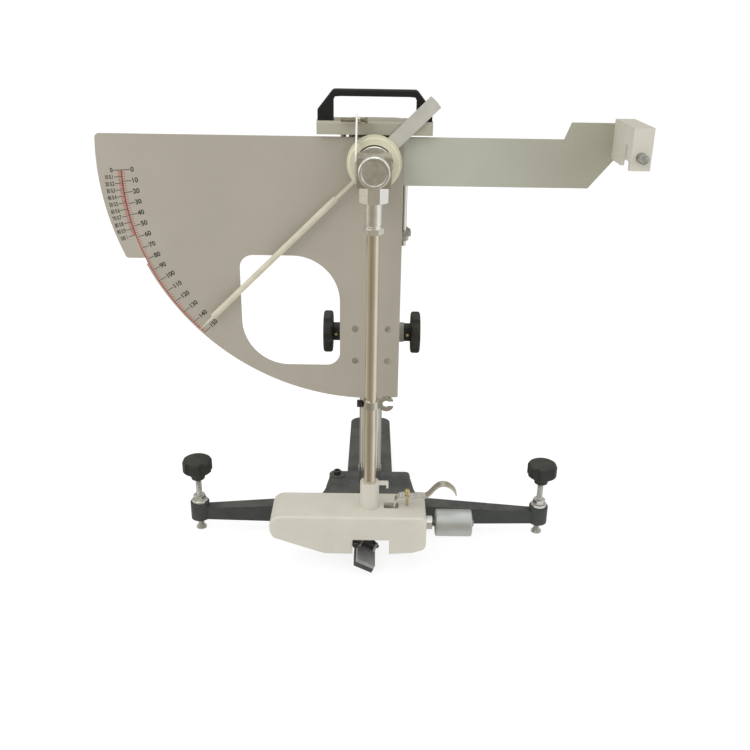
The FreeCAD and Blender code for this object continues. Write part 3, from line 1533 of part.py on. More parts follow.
def pointer():
    """Pointer hub on the housing nose, folded blade with a needle tip, and the flat tail."""
    front = val("ringFront")
    deep = val("ringDeep")
    rim = val("ringRim")
    body = val("ringBody")
    mouth = val("ringMouth")
    bore = calc("noseR + fit")
    web = val("noseFront") - front + 1
    profile = [(mouth, 0), (body - 2.5, 0), (body - 0.7, 0.8, body, 2.5), (body, 7), (rim, 7), (rim, 10),
               (body, 10), (body - 1, deep), (bore, deep), (bore, web), (mouth, web)]
    node(turned("pointer_hub", profile, ("0", "ringFront", "pivotZ"), alongY), "pointer_hub")
    back = front + deep
    turnY = ((0, 1, 0), val("pointerAngle"))
    blade = newBody("pointer_blade")
    fold = sketchOn(blade, "YZ_Plane", "bladeFold", "shoulder")
    half = val("bladeHalf")
    rear = val("bladeBack")
    outline(fold, [(rear - 0.8, -half), (rear - 2.2, 0), (rear - 0.8, half), (rear, half),
                   (rear - 1.2, 0), (rear, -half)])
    pad(blade, fold, "bladeEnd - shoulder")
    neck = sketchOn(blade, "YZ_Plane", "bladeNeck", "bladeRoot")
    narrow = val("neckHalfWide")
    box(neck, back, -narrow, back + 1.2, narrow)
    pad(blade, neck, "shoulder - bladeRoot + 3")
    tip = sketchOn(blade, "XZ_Plane", "bladeTip", "1.2 - bladeBack")
    end = val("bladeEnd")
    outline(tip, [(end - 6, -1.6), (end, -1.6), (val("pointerReach"), -0.2), (val("pointerReach"), 0.2),
                  (end, 1.6), (end - 6, 1.6)])
    pad(blade, tip, "0.8", back=False)
    put(blade, "0", "0", "pivotZ", *turnY)
    node(blade, "pointer_blade")
    tail = newBody("pointer_tail")
    face = sketchOn(tail, "XZ_Plane", "tailOutline", "0 - ringFront - ringDeep")
    w = val("tailHalf")
    reach = val("tailReach")
    outline(face, [(-bore - 3, -w), (-bore - 3, w), (2 - reach, w),
                   (0.6 - reach, w - 0.6, 0.6 - reach, w - 2), (-reach, 0, 0.6 - reach, 2 - w),
                   (0.6 - reach, 0.6 - w, 2 - reach, -w)])
    pad(tail, face, "tailThick", back=True)
    put(tail, "0", "0", "pivotZ", *turnY)
    node(tail, "pointer_tail")
    washer = cylinder("felt_washer", "feltR",
                      "plateFront - ringFront - ringDeep - tailThick - slack - slack",
                      ("0", "ringFront + ringDeep + tailThick + slack", "pivotZ"), alongY, "noseR + fit")
    node(washer, "felt_washer")


# Every sub-part, from the floor up

baseCasting()
column()
columnRack()
earScrew()
level()
levellingScrews()
headCarriage()
spindleHousing()
scalePlate()
releaseArm()
releaseButton()
handleShelf()
carryHandle()
tieRods()
liftShaft()
headClamp()
knuckle()
driver()
rodParts()
rodClip()
footShell()
balanceWeight()
sliderPieces()
sliderArm()
liftHandle()
pointer()
doc.recompute()

# Nothing is written unless every object and shape is sound

faults = []
for obj in doc.Objects:
    if "Invalid" in obj.State or "Error" in obj.State:
        faults.append(obj.Name)
for obj in nodes:
    if obj.Shape.isNull() or not obj.Shape.isValid() or not obj.Shape.Solids:
        faults.append(obj.Label)
if faults:
    raise RuntimeError("unsound: " + ", ".join(faults))

os.makedirs("parts", exist_ok=True)
for obj in nodes:
    obj.Shape.exportStep("parts/%s.step" % obj.Label)
print("%d nodes" % len(nodes))
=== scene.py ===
import math
import bpy
import bmesh
from mathutils import Matrix, Vector


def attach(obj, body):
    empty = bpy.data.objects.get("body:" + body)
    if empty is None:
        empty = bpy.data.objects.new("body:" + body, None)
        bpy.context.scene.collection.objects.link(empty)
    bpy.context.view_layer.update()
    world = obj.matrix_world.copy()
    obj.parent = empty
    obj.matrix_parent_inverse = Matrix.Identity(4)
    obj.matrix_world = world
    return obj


# Dresses the pendulum skid tester: painted castings, printed scale, plated
# metal, level vial, threads and knurls. Metres, in the frame of the model.

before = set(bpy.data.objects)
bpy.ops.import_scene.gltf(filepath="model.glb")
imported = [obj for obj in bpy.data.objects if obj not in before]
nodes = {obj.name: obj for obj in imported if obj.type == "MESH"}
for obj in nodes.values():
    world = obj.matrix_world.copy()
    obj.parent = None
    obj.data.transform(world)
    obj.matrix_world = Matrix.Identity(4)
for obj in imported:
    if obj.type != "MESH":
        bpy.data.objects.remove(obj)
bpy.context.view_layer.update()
scene = bpy.context.scene
print("loaded", len(nodes), "nodes")


# A socket with arithmetic, so that shader sums read as plain expressions

class Wire:
    def __init__(self, tree, socket=None):
        self.tree = tree
        self.socket = socket

    def node(self, kind, settings, sockets, output=0):
        made = self.tree.nodes.new(kind)
        for name, value in settings.items():
            if name == "stops":
                ramp = made.color_ramp
                while len(ramp.elements) < len(value):
                    ramp.elements.new(0.5)
                for element, (place, tint) in zip(ramp.elements, value):
                    element.position = place
                    element.color = tint
            else:
                setattr(made, name, value)
        for key, value in sockets.items():
            if isinstance(value, Wire):
                self.tree.links.new(value.socket, made.inputs[key])
            else:
                made.inputs[key].default_value = value
        return Wire(self.tree, made.outputs[output])

    def maths(self, operation, first, second=None, clamp=False):
        sockets = {0: first}
        if second is not None:
            sockets[1] = second
        return self.node("ShaderNodeMath", {"operation": operation, "use_clamp": clamp}, sockets)

    def __add__(self, other):
        return self.maths("ADD", self, other)

    __radd__ = __add__

    def __sub__(self, other):
        return self.maths("SUBTRACT", self, other)

    def __rsub__(self, other):
        return self.maths("SUBTRACT", other, self)

    def __mul__(self, other):
        return self.maths("MULTIPLY", self, other)

    __rmul__ = __mul__

    def __lt__(self, other):
        return self.maths("LESS_THAN", self, other)

    def noise(self, scale, detail=3.0, rough=0.55):
        return self.node("ShaderNodeTexNoise", {}, {
            "Vector": self, "Scale": scale, "Detail": detail, "Roughness": rough})

    def cells(self, scale):
        return self.node("ShaderNodeTexVoronoi", {}, {"Vector": self, "Scale": scale})

    def stretched(self, scale):
        return self.node("ShaderNodeMapping", {}, {"Vector": self, "Scale": scale})

    def between(self, low, high):
        return self.node("ShaderNodeMapRange", {"interpolation_type": "SMOOTHSTEP"}, {
            "Value": self, "From Min": low, "From Max": high})

    def patches(self):
        return self.between(0.3, 0.7)

    def part(self, axis):
        return self.node("ShaderNodeSeparateXYZ", {}, {"Vector": self}, axis)

    def tint(self, first, second):
        return self.node("ShaderNodeMix", {"data_type": "RGBA"}, {0: self, 6: first, 7: second}, 2)


def shade(tone, k=1.0):
    return (tone[0] * k, tone[1] * k, tone[2] * k, 1.0)


class Finish:
    def __init__(self, name):
        self.material = bpy.data.materials.new(name)
        self.material.use_nodes = True
        self.tree = self.material.node_tree
        self.shader = self.tree.nodes["Principled BSDF"]
        self.wire = Wire(self.tree)
        self.here = self.wire.node("ShaderNodeTexCoord", {}, {}, "Object")

    def set(self, name, value):
        if isinstance(value, Wire):
            self.tree.links.new(value.socket, self.shader.inputs[name])
        else:
            self.shader.inputs[name].default_value = value

    def upness(self):
        normal = self.wire.node("ShaderNodeNewGeometry", {}, {}, "Normal")
        return normal.part(2).between(0.35, 1.0)

    def bump(self, height, depth, rounding=0.0):
        sockets = {"Height": height, "Distance": depth, "Strength": 1.0}
        if rounding:
            sockets["Normal"] = self.wire.node("ShaderNodeBevel", {"samples": 4}, {"Radius": rounding})
        self.set("Normal", self.wire.node("ShaderNodeBump", {}, sockets))


# Paints: an even coat over a casting or a sheet, a little dirt and orange peel

anyPaint = {"dustTone": (0.42, 0.4, 0.34), "dustScale": 38, "grainShare": 0.35, "coatRough": 0.25, "gloss": 0.5,
            "paintedShadeStart": 0.06, "paintedShadeEnd": 0.28, "dust": 0.0}


def paintFinish(name, look):
    look = {**anyPaint, **look}
    f = Finish(name)
    mottled = f.here.noise(look["broadScale"], 4.0).patches()
    fine = f.here.noise(look["fineScale"], 2.0)
    coat = mottled.tint(shade(look["tone"], 1 - look["mottle"]), shade(look["tone"], 1 + look["mottle"]))
    specks = (f.here.cells(look["speckScale"]) < look["speckSize"]) * look["speckAmount"]
    coat = specks.tint(coat, shade(look["speckTone"]))
    if "paintedShadeTone" in look:  # painted shade: the coat darkens to a tan toward the right-hand end
        coat = f.here.part(0).between(look["paintedShadeStart"], look["paintedShadeEnd"]).tint(coat, shade(look["paintedShadeTone"]))
    if look["dust"]:
        dusty = f.upness() * f.here.noise(look["dustScale"], 3.0).between(0.35, 0.65) * look["dust"]
        coat = dusty.tint(coat, shade(look["dustTone"]))
    f.set("Base Color", coat)
    f.set("Roughness", look["rough"] + (fine - 0.5) * look["roughSpread"])
    f.set("Coat Weight", look["coat"])
    f.set("Coat Roughness", look["coatRough"])
    f.set("Specular IOR Level", look["gloss"])
    grain = f.here.noise(look["grainScale"], 2.0) * look["grainShare"]
    f.bump(f.here.noise(look["peelScale"], 2.0) + grain, look["peelDepth"], look["rounding"])
    return f.material


basePaint = paintFinish("base casting enamel", {
    "tone": (0.058, 0.063, 0.06), "gloss": 0.22, "mottle": 0.09, "broadScale": 60, "fineScale": 240,
    "speckScale": 900, "speckSize": 0.22, "speckAmount": 0.2, "speckTone": (0.12, 0.125, 0.115),
    "dust": 0.1, "rough": 0.5, "roughSpread": 0.3, "coat": 0.12, "peelScale": 300, "grainScale": 1300,
    "peelDepth": 0.0006, "rounding": 0.0014})
headPaint = paintFinish("head casting paint", {
    "tone": (0.33, 0.322, 0.27), "mottle": 0.07, "broadScale": 22, "fineScale": 260,
    "speckScale": 1100, "speckSize": 0.18, "speckAmount": 0.12, "speckTone": (0.22, 0.21, 0.17),
    "rough": 0.42, "roughSpread": 0.2, "coat": 0.2, "peelScale": 420, "grainScale": 1500,
    "peelDepth": 0.0003, "rounding": 0.0008})
shelfPaint = paintFinish("shelf paint", {
    "tone": (0.44, 0.425, 0.335), "mottle": 0.07, "broadScale": 30, "fineScale": 260,
    "speckScale": 1300, "speckSize": 0.14, "speckAmount": 0.12, "speckTone": (0.2, 0.18, 0.14),
    "rough": 0.4, "roughSpread": 0.2, "coat": 0.2, "peelScale": 500, "grainScale": 1600,
    "peelDepth": 0.00016, "rounding": 0.0005})
platePaint = paintFinish("scale plate paint", {
    "tone": (0.45, 0.412, 0.34), "mottle": 0.035, "broadScale": 9, "fineScale": 300, "speckScale": 700,
    "speckSize": 0.1, "speckAmount": 0.08, "speckTone": (0.25, 0.23, 0.18), "rough": 0.46,
    "roughSpread": 0.12, "coat": 0.08, "peelScale": 520, "grainScale": 1800, "peelDepth": 0.00012,
    "rounding": 0.0003})
# The release arm's coat carries a painted shade, darker and tanner toward its right-hand end
armPaint = paintFinish("release arm paint", {
    "tone": (0.5, 0.51, 0.425), "mottle": 0.035, "broadScale": 11, "fineScale": 300, "speckScale": 800,
    "speckSize": 0.1, "speckAmount": 0.1, "speckTone": (0.27, 0.26, 0.2), "rough": 0.44,
    "roughSpread": 0.14, "coat": 0.1, "peelScale": 480, "grainScale": 1700, "peelDepth": 0.00014,
    "rounding": 0.0005, "paintedShadeTone": (0.4, 0.385, 0.3)})
creamPaint = paintFinish("cream hammered enamel", {
    "tone": (0.695, 0.672, 0.58), "mottle": 0.03, "broadScale": 24, "fineScale": 240,
    "speckScale": 700, "speckSize": 0.12, "speckAmount": 0.1, "speckTone": (0.4, 0.37, 0.27),
    "rough": 0.34, "roughSpread": 0.14, "coat": 0.35, "peelScale": 260, "grainScale": 900,
    "peelDepth": 0.00025, "rounding": 0.001})
nylon = paintFinish("cream nylon", {
    "tone": (0.72, 0.7, 0.52), "mottle": 0.03, "broadScale": 40, "fineScale": 300, "speckScale": 900,
    "speckSize": 0.08, "speckAmount": 0.1, "speckTone": (0.5, 0.5, 0.36), "rough": 0.42,
    "roughSpread": 0.1, "coat": 0.1, "peelScale": 700, "grainScale": 2200, "peelDepth": 0.00008,
    "rounding": 0.0005})
pointerPaint = paintFinish("pointer paint", {
    "tone": (0.68, 0.64, 0.5), "mottle": 0.06, "broadScale": 60, "fineScale": 300, "speckScale": 1200,
    "speckSize": 0.12, "speckAmount": 0.16, "speckTone": (0.24, 0.21, 0.15), "rough": 0.36,
    "roughSpread": 0.12, "coat": 0.2, "peelScale": 700, "grainScale": 2400, "peelDepth": 0.00006,
    "rounding": 0.00025})
moulded = paintFinish("black moulded plastic", {
    "tone": (0.036, 0.036, 0.031), "gloss": 0.22, "mottle": 0.12, "broadScale": 70, "fineScale": 500,
    "speckScale": 1500, "speckSize": 0.16, "speckAmount": 0.18, "speckTone": (0.06, 0.06, 0.055),
    "dust": 0.05, "rough": 0.5, "roughSpread": 0.16, "coat": 0.0, "peelScale": 1500,
    "grainScale": 3600, "peelDepth": 0.00022, "rounding": 0.0009})
handlePlastic = paintFinish("textured handle plastic", {
    "tone": (0.013, 0.013, 0.0125), "gloss": 0.22, "mottle": 0.1, "broadScale": 50, "fineScale": 600,
    "speckScale": 2200, "speckSize": 0.2, "speckAmount": 0.22, "speckTone": (0.07, 0.07, 0.064),
    "dust": 0.03, "rough": 0.6, "roughSpread": 0.14, "coat": 0.0, "peelScale": 2400,
    "grainScale": 5200, "peelDepth": 0.0003, "rounding": 0.0006})
testRubber = paintFinish("test rubber", {
    "tone": (0.07, 0.072, 0.072), "mottle": 0.15, "broadScale": 120, "fineScale": 700,
    "speckScale": 2600, "speckSize": 0.2, "speckAmount": 0.2, "speckTone": (0.1, 0.1, 0.098),
    "dust": 0.05, "rough": 0.78, "roughSpread": 0.12, "coat": 0.0, "peelScale": 2600,
    "grainScale": 5200, "peelDepth": 0.0002, "rounding": 0.0003})
print("paints made")


# Metals: drawn, turned or plated, with fine lines along or across

anyMetal = {"metallic": 1.0, "rounding": 0.0, "cloudRough": 0.12, "threadLines": 0.05, "threadWave": 0.5,
            "knurlLines": 0.1, "knurlWave": 0.6}


def metalFinish(name, look):
    look = {**anyMetal, **look}
    f = Finish(name)
    lines = f.here.stretched(look["lines"]).noise(1.0, 4.0, 0.6)
    cloud = f.here.noise(look["cloudScale"], 3.0)
    paler = shade(look["tone"], 1 + look["mottle"])
    f.set("Base Color", cloud.between(0.32, 0.68).tint(shade(look["tone"], 1 - look["mottle"]), paler))
    f.set("Metallic", look["metallic"])
    f.set("Roughness", look["rough"] + (lines - 0.5) * look["roughSpread"] + (cloud - 0.5) * look["cloudRough"])
    height = lines
    if "thread" in look:
        axis, pitch = look["thread"]
        wave = f.wire.maths("SINE", f.here.part(axis) * (2 * math.pi / pitch))
        height = lines * look["threadLines"] + wave * look["threadWave"]
    if "knurl" in look:
        first, second, centre, ridges = look["knurl"]
        angle = f.wire.maths("ARCTAN2", f.here.part(first) - centre[0], f.here.part(second) - centre[1])
        height = lines * look["knurlLines"] + f.wire.maths("SINE", angle * ridges) * look["knurlWave"]
    f.bump(height, look["depth"], look["rounding"])
    return f.material


along = {"x": (30.0, 1500.0, 1500.0), "y": (1500.0, 30.0, 1500.0), "z": (1500.0, 1500.0, 30.0)}
around = {"x": (1500.0, 60.0, 60.0), "y": (60.0, 1500.0, 60.0), "z": (60.0, 60.0, 1500.0)}

chromeTube = metalFinish("bright drawn tube", {
    "tone": (0.7, 0.64, 0.55), "mottle": 0.05, "cloudScale": 14, "lines": along["z"], "rough": 0.17,
    "roughSpread": 0.12, "depth": 0.00002})
columnChrome = metalFinish("ground column", {
    "tone": (0.66, 0.67, 0.64), "mottle": 0.05, "cloudScale": 12, "lines": around["z"], "rough": 0.2,
    "roughSpread": 0.1, "depth": 0.000012, "rounding": 0.0004})
polished = metalFinish("polished plate", {
    "tone": (0.78, 0.78, 0.75), "mottle": 0.04, "cloudScale": 40, "lines": along["x"], "rough": 0.14,
    "roughSpread": 0.08, "depth": 0.00002, "rounding": 0.0003})
turnedFace = metalFinish("turned steel, facing forward", {
    "tone": (0.56, 0.53, 0.47), "mottle": 0.07, "cloudScale": 55, "lines": around["y"], "rough": 0.34,
    "roughSpread": 0.22, "depth": 0.00006, "rounding": 0.0006})
satinSteel = metalFinish("satin turned steel", {
    "tone": (0.82, 0.81, 0.78), "mottle": 0.04, "cloudScale": 60, "lines": around["z"], "rough": 0.27,
    "roughSpread": 0.1, "depth": 0.000012, "rounding": 0.0004})
jamNutPlate = metalFinish("bright nut plating", {
    "tone": (0.86, 0.87, 0.85), "mottle": 0.06, "cloudScale": 90, "lines": around["z"], "rough": 0.28,
    "roughSpread": 0.14, "depth": 0.00003, "rounding": 0.0003})
brushedBlock = metalFinish("brushed steel block", {
    "tone": (0.55, 0.53, 0.47), "mottle": 0.08, "cloudScale": 45, "lines": along["z"], "rough": 0.36,
    "roughSpread": 0.24, "depth": 0.00006, "rounding": 0.0007})
zincPlate = metalFinish("bright zinc plate", {
    "tone": (0.62, 0.62, 0.6), "mottle": 0.08, "cloudScale": 90, "lines": around["z"], "rough": 0.28,
    "roughSpread": 0.2, "depth": 0.00005, "rounding": 0.0003})
zincThreadZ = metalFinish("zinc thread, upright", {
    "tone": (0.58, 0.58, 0.55), "mottle": 0.08, "cloudScale": 90, "lines": around["z"], "rough": 0.3,
    "roughSpread": 0.2, "depth": 0.0006, "thread": (2, 0.0015)})
zincThreadX = metalFinish("zinc thread, lying", {
    "tone": (0.58, 0.58, 0.55), "mottle": 0.08, "cloudScale": 90, "lines": around["x"], "rough": 0.3,
    "roughSpread": 0.2, "depth": 0.0006, "thread": (0, 0.00125)})
blackened = metalFinish("blackened steel", {
    "tone": (0.075, 0.072, 0.066), "mottle": 0.15, "cloudScale": 120, "lines": around["x"],
    "metallic": 0.75, "rough": 0.42, "roughSpread": 0.2, "depth": 0.00006, "rounding": 0.0004})
machined = metalFinish("machined aluminium", {
    "tone": (0.46, 0.475, 0.455), "mottle": 0.04, "cloudScale": 40, "lines": around["x"],
    "metallic": 0.62, "rough": 0.44, "roughSpread": 0.18, "depth": 0.00004, "rounding": 0.0008})
sheetAluminium = metalFinish("satin sheet aluminium", {
    "tone": (0.7, 0.7, 0.65), "mottle": 0.04, "cloudScale": 40, "lines": along["x"], "metallic": 0.55,
    "rough": 0.45, "roughSpread": 0.14, "depth": 0.00004, "rounding": 0.0002})
greyHolder = metalFinish("slider backing plate", {
    "tone": (0.46, 0.46, 0.46), "mottle": 0.07, "cloudScale": 90, "lines": along["y"], "metallic": 0.5,
    "rough": 0.42, "roughSpread": 0.2, "depth": 0.00006, "rounding": 0.0003})
brass = metalFinish("turned brass", {
    "tone": (0.6, 0.5, 0.27), "mottle": 0.08, "cloudScale": 120, "lines": around["z"], "rough": 0.26,
    "roughSpread": 0.14, "depth": 0.00004, "rounding": 0.0002})
knurledBlack = metalFinish("knurled black steel", {
    "tone": (0.06, 0.058, 0.052), "mottle": 0.15, "cloudScale": 120, "lines": around["x"],
    "metallic": 0.8, "rough": 0.4, "roughSpread": 0.2, "depth": 0.0006,
    "knurl": (1, 2, (0.0, 0.231), 26)})
knurledButton = metalFinish("knurled plated button", {
    "tone": (0.5, 0.5, 0.47), "mottle": 0.08, "cloudScale": 90, "lines": around["y"], "rough": 0.3,
    "roughSpread": 0.2, "depth": 0.0005, "knurl": (0, 2, (0.285, 0.535), 30)})
capFace = metalFinish("turned cap face", {
    "tone": (0.66, 0.655, 0.62), "mottle": 0.1, "cloudScale": 120, "lines": around["y"], "rough": 0.36,
    "roughSpread": 0.25, "depth": 0.00008, "rounding": 0.0005})
clipSteel = metalFinish("clip steel", {
    "tone": (0.58, 0.57, 0.53), "mottle": 0.08, "cloudScale": 90, "lines": around["y"], "rough": 0.22,
    "roughSpread": 0.14, "depth": 0.00004, "rounding": 0.0005})
agedScrew = metalFinish("aged brass screw", {
    "tone": (0.36, 0.31, 0.21), "mottle": 0.15, "cloudScale": 200, "lines": around["x"],
    "metallic": 0.9, "rough": 0.4, "roughSpread": 0.2, "depth": 0.00035, "thread": (0, 0.0008)})
print("metals made")


def feltFinish(look):
    f = Finish("pressed felt")
    fibres = f.here.stretched((900.0, 2600.0, 900.0)).noise(1.0, 5.0, 0.7)
    paler = shade(look["tone"], look["high"])
    f.set("Base Color", fibres.patches().tint(shade(look["tone"], look["low"]), paler))
    f.set("Roughness", 0.95)
    f.bump(fibres, look["depth"])
    return f.material


felt = feltFinish({"tone": (0.17, 0.165, 0.14), "depth": 0.0004, "low": 0.7, "high": 1.25})


def vialFinish(look):
    f = Finish("level vial glass")
    swirl = f.here.noise(220, 2.0)
    f.set("Base Color", swirl.patches().tint(shade(look["tone"], 0.94), shade(look["tone"], 1.05)))
    f.set("Roughness", look["rough"] + swirl * look["rough"])
    f.set("Transmission Weight", look["clear"])
    f.set("IOR", look["bend"])
    f.bump(swirl, look["depth"])
    return f.material


vialGlass = vialFinish({
    "tone": (0.62, 0.82, 0.3), "rough": 0.04, "clear": 0.55, "bend": 1.45, "depth": 0.00003})


def inkFinish(name, look):
    f = Finish(name)
    worn = f.here.noise(look["wearScale"], 4.0).between(0.34, 0.66)
    f.set("Base Color", worn.tint(shade(look["tone"]), shade(look["faded"])))
    f.set("Roughness", 0.5 + (worn - 0.5) * 0.12)
    return f.material


redInk = inkFinish("red scale ink", {
    "tone": (0.44, 0.085, 0.06), "faded": (0.49, 0.15, 0.11), "wearScale": 260})
blackInk = inkFinish("dark scale ink", {
    "tone": (0.03, 0.028, 0.02), "faded": (0.05, 0.046, 0.034), "wearScale": 320})
print("inks made")


# Which finish each piece of the model wears

wears = {
    "base_casting": basePaint, "column": columnChrome, "column_rack": brushedBlock,
    "ear_screw": blackened, "level_housing": machined, "level_glass": vialGlass,
    "level_bushes": zincPlate, "level_lock_nuts": zincPlate, "level_stud_left": zincThreadZ,
    "level_stud_right": zincThreadZ, "level_stud_rear": zincThreadZ, "level_knob_left": moulded,
    "level_knob_right": moulded, "level_knob_rear": moulded, "head_carriage": headPaint,
    "spindle_housing": turnedFace, "scale_plate": platePaint, "plate_screws": zincPlate,
    "release_arm": armPaint, "release_box": creamPaint, "release_button": knurledButton,
    "handle_shelf": shelfPaint, "carry_handle": handlePlastic, "handle_screws": zincPlate,
    "tie_rods": polished, "tie_nuts": zincPlate, "felt_washer": felt, "pinion_shaft": brushedBlock,
    "lift_knobs": moulded, "lift_knob_screws": brass, "clamp_knob": moulded, "clamp_stud": zincPlate,
    "spindle": turnedFace, "spindle_cap": capFace, "knuckle_block": brushedBlock,
    "drive_disc": polished, "driver_strip": sheetAluminium, "driver_screw": agedScrew,
    "driver_nut": zincPlate, "union_nut": satinSteel, "rod_sleeve": satinSteel,
    "rod_jam_nut": jamNutPlate, "pendulum_rod": chromeTube, "rod_clip": clipSteel,
    "clip_thumb_screw": knurledBlack, "foot_shell": creamPaint, "foot_collar": creamPaint,
    "foot_axle": blackened, "weight_stud": zincThreadX, "weight_nuts": zincPlate, "pointer_hub": nylon,
    "pointer_blade": pointerPaint, "pointer_tail": sheetAluminium, "balance_weight": machined,
    "slider_arm": blackened, "lift_handle": polished, "limit_screw": brass,
    "slider_holder": greyHolder, "rubber_slider": testRubber, "rock_pin": blackened,
}
for name, finish in wears.items():
    mesh = nodes[name].data
    for k in range(len(mesh.materials)):
        mesh.materials[k] = finish
    if not mesh.materials:
        mesh.materials.append(finish)
print("dressed", len(wears), "pieces, bare:", sorted(set(nodes) - set(wears)))


# Hands: small jobs that every made piece shares

def deselect():
    bpy.ops.object.select_all(action="DESELECT")


def pick(*objects):
    deselect()
    for thing in objects:
        thing.select_set(True)
    bpy.context.view_layer.objects.active = objects[0]


def settle(thing, name, finish, body):
    pick(thing)
    bpy.ops.object.transform_apply(location=True, rotation=True, scale=True)
    thing.name = name
    thing.data.name = name
    thing.data.materials.clear()
    thing.data.materials.append(finish)
    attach(thing, body)
    return thing


def joined(things):
    pick(*things)
    bpy.ops.object.join()
    return bpy.context.view_layer.objects.active


def copied(thing, matrix):
    twin = thing.copy()
    twin.data = thing.data.copy()
    twin.data.transform(matrix)
    scene.collection.objects.link(twin)
    return twin


def chosen(test):
    mesh = bmesh.from_edit_mesh(bpy.context.edit_object.data)
    for face in mesh.faces:
        face.select_set(bool(test(face)))
    mesh.select_flush_mode()
    bmesh.update_edit_mesh(bpy.context.edit_object.data)


# The printed scale: a red arc with ticks each side, numbers along the radii

scalePrint = {
    "pivot": Vector((0, 0, 0.516)), "face": 0.055, "ink": 0.00007,
    "arcShift": Vector((-0.029, 0, -0.021)), "arcRadius": 0.2648, "lineWide": 0.0015, "short": 0.0042,
    "long": 0.0102, "tickWide": 0.0008, "startSine": math.sin(math.radians(3.06)),
    "sinePerUnit": 0.004427, "last": 150, "digits": 0.0078, "numberGap": 0.0106, "outerLong": 0.0092,
    "outerShort": 0.0044, "outerLast": 100, "outerSine": 0.00255, "outerDigits": 0.0068,
    "squeeze": 0.62, "bold": 0.03, "labelGap": 0.0008, "arcDeep": 0.0002, "arcSteps": 90, "step": 2,
    "labelStep": 10,
}


def scaleAngle(units, perUnit):
    return math.asin(scalePrint["startSine"] + units * perUnit)


# The printed arc has its own centre, a little below and left of the pivot
def lineAt(angle):
    shift = scalePrint["arcShift"]
    ahead = -shift.x * math.cos(angle) - shift.z * math.sin(angle)
    return ahead + math.sqrt(ahead ** 2 - shift.length_squared + scalePrint["arcRadius"] ** 2)


def onPlate(angle, radius):
    x = -radius * math.cos(angle)
    z = -radius * math.sin(angle)
    turn = Matrix.Rotation(-angle, 4, "Y")
    place = Matrix.Translation(scalePrint["pivot"] + Vector((x, scalePrint["face"], z)))
    return place @ turn


def tickMark(length):
    bpy.ops.mesh.primitive_cube_add(size=1)
    tick = bpy.context.object
    tick.scale = (length, scalePrint["ink"], scalePrint["tickWide"])
    pick(tick)
    bpy.ops.object.transform_apply(location=True, rotation=True, scale=True)
    return tick


# One row of ticks, inside the arc or outside it, with every fifth one long
def tickRow(short, long, last, perUnit, side, marks, tens):
    look = scalePrint
    models = {length: tickMark(length) for length in (short, long)}
    for unit in range(0, last + 1, look["step"]):
        whole = unit % look["labelStep"] == 0
        length = long if whole else short
        angle = scaleAngle(unit, perUnit)
        tick = copied(models[length], onPlate(angle, lineAt(angle) + side * length / 2))
        (tens if whole else marks).append(tick)
    for model in models.values():
        bpy.data.objects.remove(model)


def scaleTicks():
    look = scalePrint
    marks = []
    tens = []
    tickRow(look["short"], look["long"], look["last"], look["sinePerUnit"], -1, marks, tens)
    tickRow(look["outerShort"], look["outerLong"], look["outerLast"], look["outerSine"], 1, marks, tens)
    return joined(marks), joined(tens)


def scaleArc():
    look = scalePrint
    first = scaleAngle(0, look["sinePerUnit"])
    last = scaleAngle(look["last"], look["sinePerUnit"])
    bpy.ops.mesh.primitive_cube_add(size=1)
    band = bpy.context.object
    band.scale = (look["lineWide"], look["ink"], look["arcDeep"])
    pick(band)
    bpy.ops.object.transform_apply(location=True, rotation=True, scale=True)
    middle = look["pivot"] + look["arcShift"] + Vector((0, look["face"], 0))
    ends = [onPlate(angle, lineAt(angle)).translation - middle for angle in (first, last)]
    start, stop = [math.atan2(-end.z, -end.x) for end in ends]
    turn = Matrix.Rotation(-start, 4, "Y")
    band.data.transform(Matrix.Translation(middle + ends[0]) @ turn)
    bpy.ops.object.mode_set(mode="EDIT")
    bpy.ops.mesh.select_mode(type="FACE")
    down = Vector((math.sin(start), 0, -math.cos(start)))
    chosen(lambda face: face.normal.dot(down) > 0.9)
    bpy.ops.mesh.spin(steps=look["arcSteps"], angle=start - stop, center=middle, axis=(0, -1, 0))
    bpy.ops.mesh.select_all(action="SELECT")
    bpy.ops.mesh.remove_doubles(threshold=0.000001)
    bpy.ops.mesh.normals_make_consistent(inside=False)
    bpy.ops.object.mode_set(mode="OBJECT")
    return band


# Flat numbers stood up on the plate and turned to lie along a radius
def printed(words, size, angle, radius, align, squeeze=1.0):
    bpy.ops.object.text_add()
    text = bpy.context.object
    text.data.body = words
    text.data.size = size
    text.data.align_x = align
    text.data.align_y = "CENTER"
    text.data.extrude = scalePrint["ink"] / 2
    text.data.resolution_u = 4
    text.data.offset = size * scalePrint["bold"]
    pick(text)
    bpy.ops.object.convert(target="MESH")
    text = bpy.context.object
    text.data.transform(Matrix.Diagonal((squeeze, 1, 1, 1)))
    text.data.transform(Matrix.Rotation(math.pi / 2, 4, "X"))
    text.data.transform(onPlate(angle, radius))
    return text


def scaleNumbers():
    look = scalePrint
    made = []
    for unit in range(0, look["last"] + 1, look["labelStep"]):
        angle = scaleAngle(unit, look["sinePerUnit"])
        made.append(printed(str(unit), look["digits"], angle, lineAt(angle) - look["numberGap"], "LEFT"))
    for unit in range(0, look["outerLast"] + 1, look["labelStep"]):
        angle = scaleAngle(unit, look["outerSine"])
        words = "%d %g" % (unit, unit / look["outerLast"]) if unit else "0"
        narrow = look["squeeze"] if unit else 1.0
        radius = lineAt(angle) + look["outerLong"] + look["labelGap"]
        made.append(printed(words, look["outerDigits"], angle, radius, "RIGHT", narrow))
    return joined(made)


settle(scaleArc(), "scale_arc", redInk, "head")
units, tens = scaleTicks()
settle(units, "scale_unit_ticks", redInk, "head")
settle(tens, "scale_ten_ticks", blackInk, "head")
settle(scaleNumbers(), "scale_numbers", blackInk, "head")
print("scale printed")


# The level: a bubble under the glass and a ring on it

